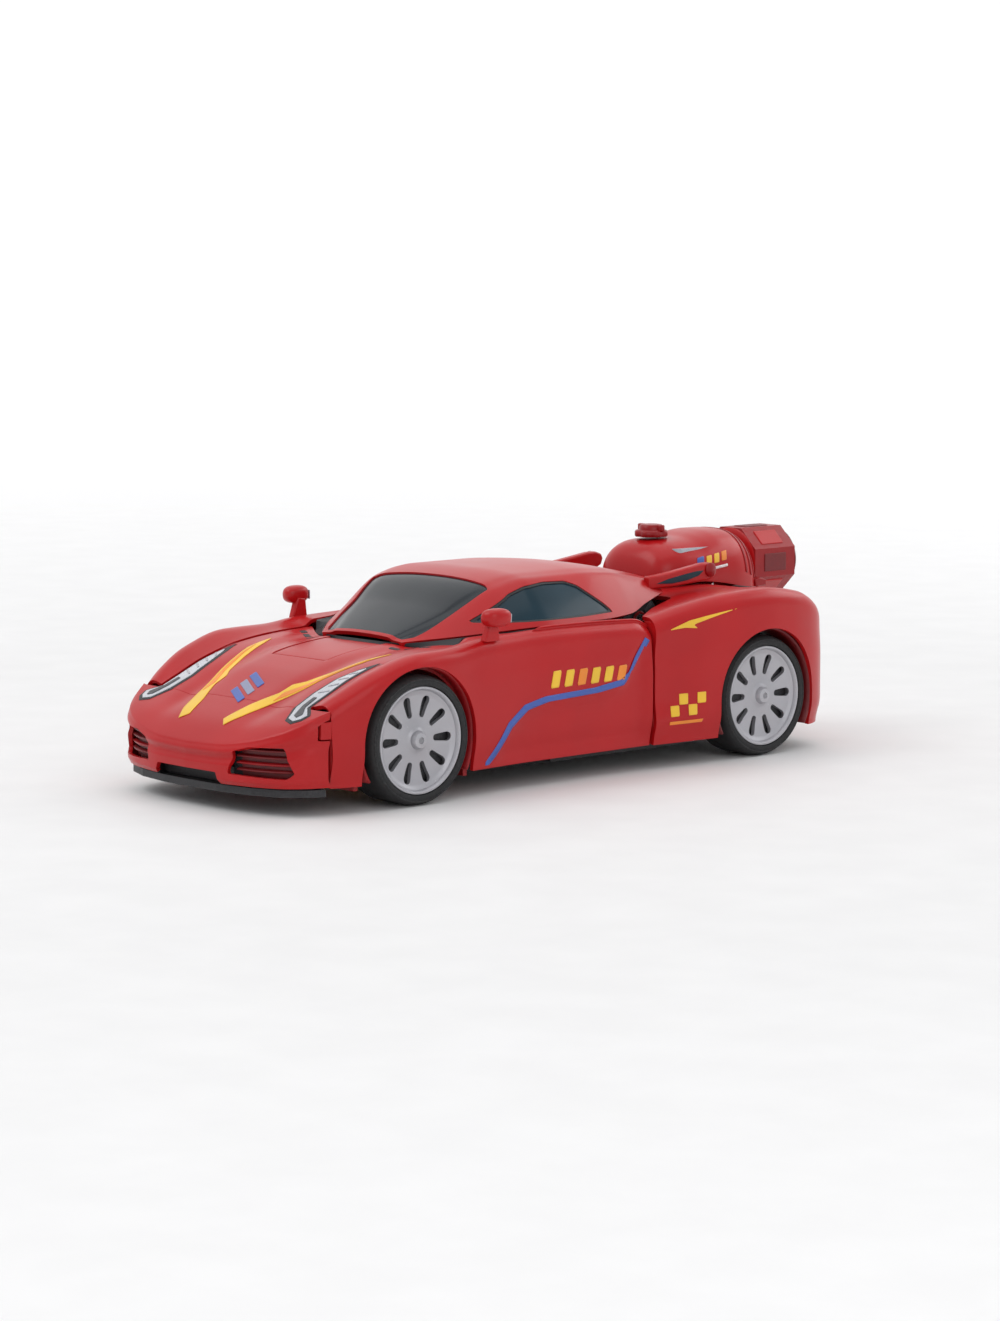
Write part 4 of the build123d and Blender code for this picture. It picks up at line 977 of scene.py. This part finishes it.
# louvres across the deck
for side, sign in SIDES:
    for k in range(4):
        y = -14 - 5.2 * k
        louvre = [(23.5, y), (37.5 - k, y - 0.6), (37.5 - k, y - 2.6), (23.5, y - 2.0)]
        prism(f"deck_louvre_{side}_{k}", mirrored(louvre, sign), "plan", rear_top(y) - 2.2,
              rear_top(y) - 0.85, BLACK, "rear_chassis", bevel=0.35)


# ------------------------------------------------------------------ canopy
def canopy_point(y, girth):
    """Canopy: girth -1 at the right sill, 0 at the ridge, 1 at the left sill."""
    part = abs(girth) / 0.5
    roof_x, roof_z = edge_x(y), edge_z(y)
    if part <= 1:
        fold = ease(0.8, 1.0, part)
        x = roof_x * (part ** 0.96) - 0.35 * fold
        z = ridge_z(y) - (ridge_z(y) - roof_z) * part ** 2.3 - 0.55 * fold
    else:
        part = (abs(girth) - 0.5) / 0.5
        x = roof_x - 0.35 + (sill_x(y) - roof_x + 0.35) * (part ** 0.86)
        z = roof_z - 0.55 + (sill_z(y) - roof_z + 0.55) * (part ** 1.12)
    return (copysign(x, girth), y, z)


side_window = polygon_distance([
    (128.5, 56.9), (119.5, 61.6), (111, 66.0), (104, 68.0), (94, 68.9), (84, 68.6),
    (79.5, 67.0), (70.5, 60.0), (67.5, 57.0), (84, 56.6), (110, 56.6)])


def screen(x, y):
    """Signed distance of the windscreen opening, negative inside."""
    width = edge_x(y) - 0.9 + 4.0 * ease(126, 146, y)
    return max(abs(x) - width, 113.6 + 1.2 * (abs(x) / 28.0) ** 2 - y, y - 146.4)


def roof_keep(x, y, z):
    distance = screen(x, y)
    if abs(x) > edge_x(y) * 0.96:
        distance = min(distance, side_window(y, z))
    return distance


GLASS_LAP = 0.9   # glass reaches this far past its opening
sheet("roof_skin", canopy_point, steps(30.2, 147.8, 96), steps(-1, 1, 72), "canopy",
      keep=roof_keep, replaces="canopy_shell", core=(0, 90, 20))
sheet("windscreen", canopy_point, steps(112, 147.4, 30), steps(-0.8, 0.8, 40), "canopy",
      keep=lambda x, y, z: -(screen(x, y) - GLASS_LAP), thick=0.8, material=GLAZING,
      offset=-0.55, replaces="canopy_glass", core=(0, 110, 20))

# buttress running back beside the turbine and its leaf-shaped window, (y, z)
BUTTRESS = [(37.5, 61.8), (37.5, 66.4), (33, 66.7), (26, 67.4), (18, 68.4), (10, 69.5),
            (6, 69.6), (3.0, 68.6), (2.2, 66.8), (3.0, 64.6), (6, 63.2), (14, 62.6), (26, 61.9)]
LEAF = [(34, 63.6), (28, 65.0), (20, 66.1), (13, 66.9), (9.4, 66.9), (12, 65.2), (18, 63.9),
        (26, 63.2)]


def canopy_side(side, sign):
    def point(y, girth):
        return canopy_point(y, sign * girth)
    sheet("side_window_" + side, point, steps(65, 130.5, 54), steps(0.5, 1.0, 20), "canopy",
          keep=lambda x, y, z: -(side_window(y, z) - GLASS_LAP), thick=0.8,
          material=GLAZING_TEAL, offset=-0.6, core=(0, 100, 30))
    sheet("window_seal_" + side, point, steps(65, 130.5, 60), steps(0.5, 1.0, 24), "canopy",
          keep=lambda x, y, z: 0.55 - abs(side_window(y, z) + 0.1), thick=0.5, material=BLACK,
          offset=-0.25, core=(0, 100, 30), **PLAIN)
    prism("buttress_" + side, BUTTRESS, "side", sign * 28.1, sign * 31.4, RED, "canopy",
          bevel=0.7, segments=3)
    prism("buttress_leaf_" + side, LEAF, "side", sign * 31.3, sign * 31.62, GLAZING_TEAL,
          "canopy", bevel=0.1)
    lathe("hinge_cap_" + side, [(0.02, 31.4), (2.6, 31.4), (2.6, 31.9), (2.0, 32.3), (0.02, 32.4)],
          (0, 6, 67), "X", CRIMSON, "canopy", segments=24, sign=sign, closed=False)


for side, sign in SIDES:
    canopy_side(side, sign)

# liner and ribs, seen when the canopy stands open
sheet("canopy_liner", canopy_point, steps(64, 146.4, 60), steps(-0.985, 0.985, 56), "canopy",
      thick=0.6, bevel=0, material=CRIMSON, offset=-1.75, core=(0, 100, 20))
for k in range(7):
    y = 42 + 10 * k
    half = edge_x(y) - 3.4
    z = edge_z(y) - 2.0
    rib = [(-half, z - 1.0), (half, z - 1.0), (half, z - 0.2), (half * 0.5, z + 0.5),
           (-half * 0.5, z + 0.5), (-half, z - 0.2)]
    # painted shade: the ribs under the roof take the darkened crimson
    prism(f"roof_rib_{k}", rib, "front", y, y + 1.6, SHADED_CRIMSON, "canopy", bevel=0.25)

# ------------------------------------------------------------------ turbine, cap and nozzle
TURBINE_FRONT, TURBINE_REAR = 18.4, -37.4
TURBINE_CORE = (0, -10, 58)
# top, foot and half width of the housing, each as (y, value)
turbine_top = curve([(18.4, 63.4), (17.4, 68.5), (15.6, 72.2), (12.5, 74.9), (8, 76.3),
                     (2, 76.6), (-4, 77.0), (-10, 78.2), (-17, 79.0), (-24, 78.9),
                     (-30, 77.3), (-34.5, 74.2), (-37.4, 70.2)])
turbine_foot = curve([(18.4, 60.6), (0, 61.2), (-20, 58.8), (-34, 53.8), (-37.4, 52.2)])
turbine_half = curve([(18.4, 10.5), (16, 15.0), (12, 17.6), (4, 19.4), (-8, 19.9),
                      (-20, 19.8), (-30, 18.4), (-37.4, 14.2)])


def turbine_point(along, turn):
    """Housing: along 0 front to 1 rear, its ends closing beyond; turn 0 left to 1 right."""
    shrink = 1.0 - max(0.0, along - 1.0) / 0.2 * 0.92 - max(0.0, -along) / 0.12 * 0.9
    y = TURBINE_FRONT + (TURBINE_REAR - TURBINE_FRONT) * clamp(along, 0.0, 1.0)
    foot, top = turbine_foot(y), turbine_top(y)
    power = 2.0 / 2.7
    x = turbine_half(y) * signed_power(cos(pi * turn), power)
    z = foot + (top - foot) * abs(sin(pi * turn)) ** power
    middle = (foot + top) / 2
    return (x * shrink, y, middle + (z - middle) * shrink)


def turbine_at(y, turn):
    return turbine_point((TURBINE_FRONT - y) / (TURBINE_FRONT - TURBINE_REAR), turn)


sheet("turbine_skin", turbine_point, steps(-0.12, 1.2, 60), steps(0, 1, 44), "rear_chassis",
      thick=1.2, replaces="turbine_housing", core=TURBINE_CORE)
for k in range(3):
    y = -26.5 - 3.0 * k
    sheet(f"turbine_band_{k}",
          lambda along, turn: turbine_at(y - 1.1 * along, 0.06 + 0.88 * turn),
          steps(0, 1, 3), steps(0, 1, 40), "rear_chassis", thick=0.8, bevel=0.2,
          material=CRIMSON, offset=0.35, core=TURBINE_CORE)

# prints on the housing: name, ink, outline of (y, z)
TANK_PRINTS = [
    ("bar_a", INK_BLUE, [(0.5, 66.0), (-3.2, 66.6), (-4.6, 70.4), (-0.9, 69.8)]),
    ("bar_b", INK_YELLOW, [(-4.6, 66.8), (-7.4, 67.2), (-8.6, 70.6), (-5.8, 70.2)]),
    ("bar_c", INK_YELLOW, [(-8.8, 67.4), (-11.6, 67.8), (-12.8, 71.2), (-10.0, 70.8)]),
    ("bar_d", INK_ORANGE, [(-13.0, 68.0), (-15.8, 68.4), (-17.0, 71.8), (-14.2, 71.4)]),
    ("rule", INK_WHITE, [(1.5, 64.2), (-16.0, 66.0), (-16.2, 67.0), (1.2, 65.2)]),
]
CLAMP = [(-33.5, 57.0), (-39.5, 57.0), (-39.5, 59.4), (-36, 60.2), (-33.5, 59.4)]
for side, sign in SIDES:
    for name, material, outline in TANK_PRINTS:
        side_print(f"tank_{name}_{side}", outline,
                   lambda y, turn: turbine_at(y, turn if sign > 0 else 1 - turn),
                   steps(-22, 4, 60), steps(0.02, 0.42, 40), material, "rear_chassis",
                   TURBINE_CORE)
    prism("clamp_" + side, CLAMP, "side", sign * 14.2, sign * 17.4, CRIMSON, "rear_chassis",
          bevel=0.4)


def cap_notch(i, k):
    """Eight-segment ripple round the side of the cap."""
    if 2 <= i <= 6:
        return 1.0 - 0.10 * (0.5 + 0.5 * cos(2 * pi * (k % 8) / 8.0))
    return 1.0


lathe("ribbed_cap", [(0.02, 76.9), (3.2, 76.9), (6.1, 77.2), (6.5, 77.7), (6.5, 78.9),
                     (6.1, 79.4), (5.2, 79.7), (4.6, 79.8), (4.4, 81.0), (3.9, 81.6),
                     (2.6, 81.8), (0.02, 81.8)],
      (0, 5, 0), "Z", CRIMSON, "filler_cap", replaces="filler_cap", notch=cap_notch,
      closed=False)
prism("cap_grip", [(-6.3, 4.0), (6.3, 4.0), (6.3, 6.0), (-6.3, 6.0)], "plan", 79.2, 81.7,
      CRIMSON, "filler_cap", bevel=0.5)


def nozzle_rib(k):
    """One of eight flat ribs round the nozzle drum."""
    drum_r, front_y, rear_y, half = 13.05, -43.0, -55.0, 3.4
    angle = radians(45 * k)
    draft = bmesh.new()
    lower, upper = [], []
    for y, across in ((front_y, -half), (rear_y, -half), (rear_y, half), (front_y, half)):
        for radius, ring in ((drum_r - 0.9, lower), (drum_r + 0.22, upper)):
            x = radius * cos(angle) - across * sin(angle)
            z = NOZZLE_Z + radius * sin(angle) + across * cos(angle)
            ring.append(draft.verts.new(place(x, y, z)))
    cap_and_wall(draft, lower, upper)
    # painted shade: every other rib takes the darkened crimson
    rib = make_object(draft, f"nozzle_rib_{k}", RED if k % 2 else SHADED_CRIMSON, smooth=False)
    round_edges(rib, 0.4, segments=3)
    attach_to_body(rib, "rear_chassis")


for k in range(8):
    nozzle_rib(k)
lathe("nozzle_collar", [(9.6, -37.6), (12.4, -37.6), (12.9, -38.0), (12.9, -39.0),
                        (12.2, -39.6), (9.6, -39.6)],
      (0, 0, NOZZLE_Z), "Y", RED, "rear_chassis")
# painted shade: the nozzle mouth takes the darkened crimson
lathe("nozzle_mouth", [(10.5, -61.6), (11.4, -62.0), (12.0, -61.8), (12.4, -61.0),
                       (10.5, -60.6)],
      (0, 0, NOZZLE_Z), "Y", SHADED_CRIMSON, "rear_chassis")

# ------------------------------------------------------------------ wheels
# profiles of (radius, x)
TYRE = [(18.35, 37.2), (18.6, 36.7), (19.6, 36.5), (20.9, 36.8), (21.6, 37.7), (21.95, 39.4),
        (21.98, 43.0), (21.5, 43.4), (21.98, 43.8), (21.98, 47.0), (21.98, 50.9), (21.6, 52.6),
        (20.9, 53.6), (19.6, 53.98), (18.6, 53.7), (18.35, 53.2)]
BEAD = [(20.2, 53.7), (20.5, 54.0), (20.8, 53.9), (20.9, 53.5)]
HOOP = [(18.25, 37.0), (18.25, 53.0), (18.05, 53.5), (17.5, 53.55), (16.9, 53.0),
        (16.6, 51.6), (16.6, 48.0), (16.2, 38.0), (17.2, 37.0)]
HUB_PLATE = [(1.2, 49.4), (15.9, 49.0), (16.3, 48.2), (1.2, 47.8)]
HUB_CAP = [(2.15, 50.6), (2.9, 50.6), (3.3, 51.6), (3.1, 52.6), (2.5, 53.6), (1.2, 53.9),
           (1.0, 53.5), (0.02, 53.4), (0.02, 53.45), (2.15, 53.42)]
SLOT_COUNT = 10
SLOT_INNER, SLOT_OUTER = 7.9, 15.4   # radii the slots reach


def tread(i, k):
    """Shallow cuts in the tyre, staggered between its two bands."""
    if i in (5, 6, 8, 9) and k % 4 == (0 if i < 7 else 2):
        return 0.988
    return 1.0


def wheel(end, axle_y, side, sign):
    body = f"{end}_wheel_{side}"
    centre = (0, axle_y, AXLE_Z)

    def turned(name, profile, material, segments, **extra):
        lathe(f"{end}_{name}_{side}", profile, centre, "X", material, body,
              segments=segments, sign=sign, **extra)

    def face_point(turn, radius):
        """Dished face of the rim."""
        angle = turn * 2 * pi
        x = (51.9 - 1.0 * sin(pi * clamp((radius - 2) / 15, 0.0, 1.0))
             + 0.5 * ease(15, 17, radius) + 0.35 * ease(4.6, 3.2, radius))
        return (sign * x, axle_y + radius * cos(angle), AXLE_Z + radius * sin(angle))

    def slots(x, y, z):
        """Distance from the centre hole or the nearest round-ended slot."""
        dy, dz = y - axle_y, z - AXLE_Z
        radius = hypot(dy, dz)
        if radius < 1.9:
            return radius - 1.1
        turn = atan2(dz, dy) * SLOT_COUNT / (2 * pi)
        off = (turn - round(turn)) / SLOT_COUNT * 2 * pi * radius
        half = 0.95 + 0.10 * (radius - 7.5)
        nearest = min(SLOT_OUTER - half - 0.1, max(SLOT_INNER + 0.9, radius))
        return hypot(off, radius - nearest) - half

    turned("tyre_skin", TYRE, RUBBER, 120, replaces=f"{end}_tyre_{side}", notch=tread)
    turned("tyre_bead", BEAD, RUBBER, 96)
    turned("rim_hoop", HOOP, SILVER, 96, replaces=f"{end}_rim_{side}")
    sheet(f"{end}_rim_face_{side}", face_point, turn_steps(160), steps(1.0, 16.9, 34), body,
          keep=slots, thick=1.7, material=SILVER, bevel=0.2, closed=True,
          core=(sign * 30, axle_y, AXLE_Z))
    turned("hub_plate", HUB_PLATE, BLACK, 64)
    turned("hub_cap", HUB_CAP, SILVER, 32)


for end, axle_y in (("rear", REAR_AXLE_Y), ("front", FRONT_AXLE_Y)):
    for side, sign in SIDES:
        wheel(end, axle_y, side, sign)

# ------------------------------------------------------------------ head
HEAD_Y, HEAD_Z = 145.0, 34.0
HELMET_R = 11.1
HEAD_CORE = (0, HEAD_Y, HEAD_Z)


def helmet_point(turn, polar):
    """Helmet lying on its back: crown to the rear (polar 0), face up (turn 0)."""
    tilt = polar * pi
    around = turn * 2 * pi
    radius = HELMET_R * (1 + 0.02 * cos(2 * around))
    return (radius * sin(tilt) * sin(around) * 0.97, HEAD_Y - HELMET_R * cos(tilt),
            HEAD_Z + radius * sin(tilt) * cos(around))


face_hole = polygon_distance([(-6.6, 142.6), (6.6, 142.6), (7.4, 146.5), (6.0, 151.4),
                              (3.4, 154.4), (-3.4, 154.4), (-6.0, 151.4), (-7.4, 146.5)])
sheet("helmet_skin", helmet_point, turn_steps(48), steps(0.02, 0.80, 26), "head",
      keep=lambda x, y, z: face_hole(x, y) if z > 36 else 3.0, thick=1.1, material=YELLOW,
      closed=True, replaces="helmet", core=HEAD_CORE)
sheet("helmet_crest",
      lambda across, run: helmet_point((across - 0.5) * (0.16 - 0.05 * run), 0.03 + 0.36 * run),
      steps(0, 1, 8), steps(0, 1, 20), "head", thick=1.0, material=CRIMSON, offset=0.55,
      bevel=0.2, core=HEAD_CORE)


def ear_and_eye(side, sign):
    ear_y, ear_r = 146, 3.1

    def ear(turn, radius):
        angle = turn * 2 * pi
        return (sign * (10.75 - 0.5 * radius * radius), ear_y + ear_r * radius * cos(angle),
                HEAD_Z + ear_r * radius * sin(angle))

    def eye(across, rise):
        return (sign * (1.2 + 3.9 * across), 145.2 + 2.0 * rise + 0.5 * across,
                43.45 - 0.8 * across * across)
    sheet("helmet_ear_" + side, ear, turn_steps(24), steps(0.05, 1, 5), "head", thick=1.2,
          material=CRIMSON, closed=True, core=(0, ear_y, HEAD_Z))
    sheet("visor_eye_" + side, eye, steps(0, 1, 8), steps(0, 1, 4), "head", thick=0.5,
          material=TEAL, core=(0, 146, 30))


for side, sign in SIDES:
    ear_and_eye(side, sign)

# ------------------------------------------------------------------ robot torso and lift arm
CHEST_VEE = [(2.2, 171.6), (5.6, 172.6), (11.6, 182), (12.8, 195), (9.4, 200), (6.6, 196),
             (6.8, 184)]
TOE_BOX = [(11, 98), (22.6, 98), (22.6, 109.5), (19, 112), (13, 112), (11, 108)]
LEG_RAIL = [(100, 26), (112, 31.6), (144, 31.6), (144, 29.8), (113, 29.8), (101, 24.6)]
ARM_Y, ARM_Z = 42, 51   # centre of the discs on the lift arm

for side, sign in SIDES:
    prism("chest_vee_" + side, mirrored(CHEST_VEE, sign), "plan", 8.25, 9.1, CRIMSON,
          "robot_torso", bevel=0.2)
for k in range(4):
    front, rear = 156 - 5.2 * k, 153.4 - 5.2 * k
    wide, narrow = 4.0 - 0.7 * k, 3.4 - 0.7 * k
    prism(f"belt_rib_{k}", [(-wide, front), (wide, front), (narrow, rear), (-narrow, rear)],
          "plan", 8.3, 9.0, BLACK, "robot_torso", bevel=0.2)
for side, sign in SIDES:
    prism("toe_box_" + side, mirrored(TOE_BOX, sign), "plan", 16.2, 18.4, BLACK, "robot_torso",
          bevel=0.5)
    prism("leg_rail_" + side, LEG_RAIL, "side", sign * 23.4, sign * 24.4, GREY, "robot_torso",
          bevel=0.2)
    lathe("arm_hub_" + side, [(0.02, 30.4), (3.0, 30.4), (3.4, 30.9), (3.0, 31.3), (0.02, 31.3)],
          (0, ARM_Y, ARM_Z), "X", CRIMSON, "lift_arm", segments=32, sign=sign, closed=False)
    for k in range(6):
        angle = radians(60 * k + 15)
        corners = ((4.2, -0.2), (8.4, -0.09), (8.4, 0.09), (4.2, 0.2))   # radius, turn
        rib = [(ARM_Y + radius * cos(angle + turn), ARM_Z + radius * sin(angle + turn))
               for radius, turn in corners]
        prism(f"disc_rib_{side}_{k}", rib, "side", sign * 30.4, sign * 30.9, GREY, "lift_arm",
              bevel=0.12)

# ------------------------------------------------------------------ floor, lights, camera; metres
low, high = [Vector(corner) for corner in CAD_BOX]
centre = (low + high) / 2
AZIMUTH, ELEVATION = radians(47), radians(7.0)   # of the camera, from the nose to the left
CAMERA_DISTANCE = 1.32


def backdrop():
    """Floor that curves up into a wall square to the view; it glows more with distance."""
    bend_start, bend_r = 1.6, 1.2
    profile = [(-6.0, 0.0), (bend_start, 0.0)]
    for k in range(6, 91, 6):
        angle = radians(k)
        profile.append((bend_start + bend_r * sin(angle), bend_r - bend_r * cos(angle)))
    profile.append((2.8, 5.0))
    away = Vector((-sin(AZIMUTH), cos(AZIMUTH), 0))
    aside = Vector((cos(AZIMUTH), sin(AZIMUTH), 0))
    draft = bmesh.new()
    rows = [[draft.verts.new(away * back + aside * across + Vector((0, 0, z - 0.0001)))
             for back, z in profile] for across in (-7.0, -3.0, 0.0, 3.0, 7.0)]
    for row, after in zip(rows, rows[1:]):
        for i in range(len(profile) - 1):
            draft.faces.new([row[i], row[i + 1], after[i + 1], after[i]])
    bmesh.ops.recalc_face_normals(draft, faces=draft.faces)

    material = plastic("pale_floor", (0.80, 0.795, 0.785), rough=0.7, grain=60, bump=0.01,
                       wear=0.0, mottled=0.012, rough_range=0.05, hollow_shade_strength=0.0)
    tree = material.node_tree
    coords = tree.nodes.new("ShaderNodeTexCoord")
    length = tree.nodes.new("ShaderNodeVectorMath")
    length.operation = "LENGTH"
    tree.links.new(coords.outputs["Object"], length.inputs[0])
    shader = tree.nodes["Principled BSDF"]
    glow = remap(tree, length.outputs["Value"], 0.35, 2.2, 0.0, 0.42)
    tree.links.new(glow, shader.inputs["Emission Strength"])
    shader.inputs["Emission Color"].default_value = (1, 1, 1, 1)
    make_object(draft, "floor", material)


backdrop()

# area lights aimed at the middle of the car: name, place, size, power in watts
LIGHTS = [
    ("key", (-0.55, -0.9, 1.25), (1.1, 0.8), 6.5),
    ("fill", (1.35, -0.35, 0.65), (1.0, 0.9), 3.0),
    ("top", (0.0, 0.1, 1.6), (1.6, 1.6), 6.0),
    ("rim", (0.3, 1.4, 0.9), (1.2, 0.6), 4.0),
]
for name, where, size, power in LIGHTS:
    light = bpy.data.lights.new(name, "AREA")
    light.shape = "RECTANGLE"
    light.size, light.size_y = size
    light.energy = power
    lamp = bpy.data.objects.new(name, light)
    bpy.context.scene.collection.objects.link(lamp)
    lamp.location = where
    lamp.rotation_euler = (centre - Vector(where)).to_track_quat("-Z", "Y").to_euler()

world = bpy.data.worlds.new("studio")
bpy.context.scene.world = world
world.use_nodes = True
background = world.node_tree.nodes["Background"]
background.inputs["Color"].default_value = (0.95, 0.96, 1.0, 1)
background.inputs["Strength"].default_value = 0.62
bpy.context.scene.view_settings.view_transform = "Standard"

lens = bpy.data.cameras.new("camera")
lens.lens = 100
lens.clip_start = 0.01
camera = bpy.data.objects.new("camera", lens)
bpy.context.scene.collection.objects.link(camera)
aim = centre + Vector((0.0, 0.0, -0.004))
view = Vector((sin(AZIMUTH) * cos(ELEVATION), -cos(AZIMUTH) * cos(ELEVATION), sin(ELEVATION)))
camera.location = aim + CAMERA_DISTANCE * view
camera.rotation_euler = (aim - camera.location).to_track_quat("-Z", "Y").to_euler()
bpy.context.scene.camera = camera

bpy.context.view_layer.update()
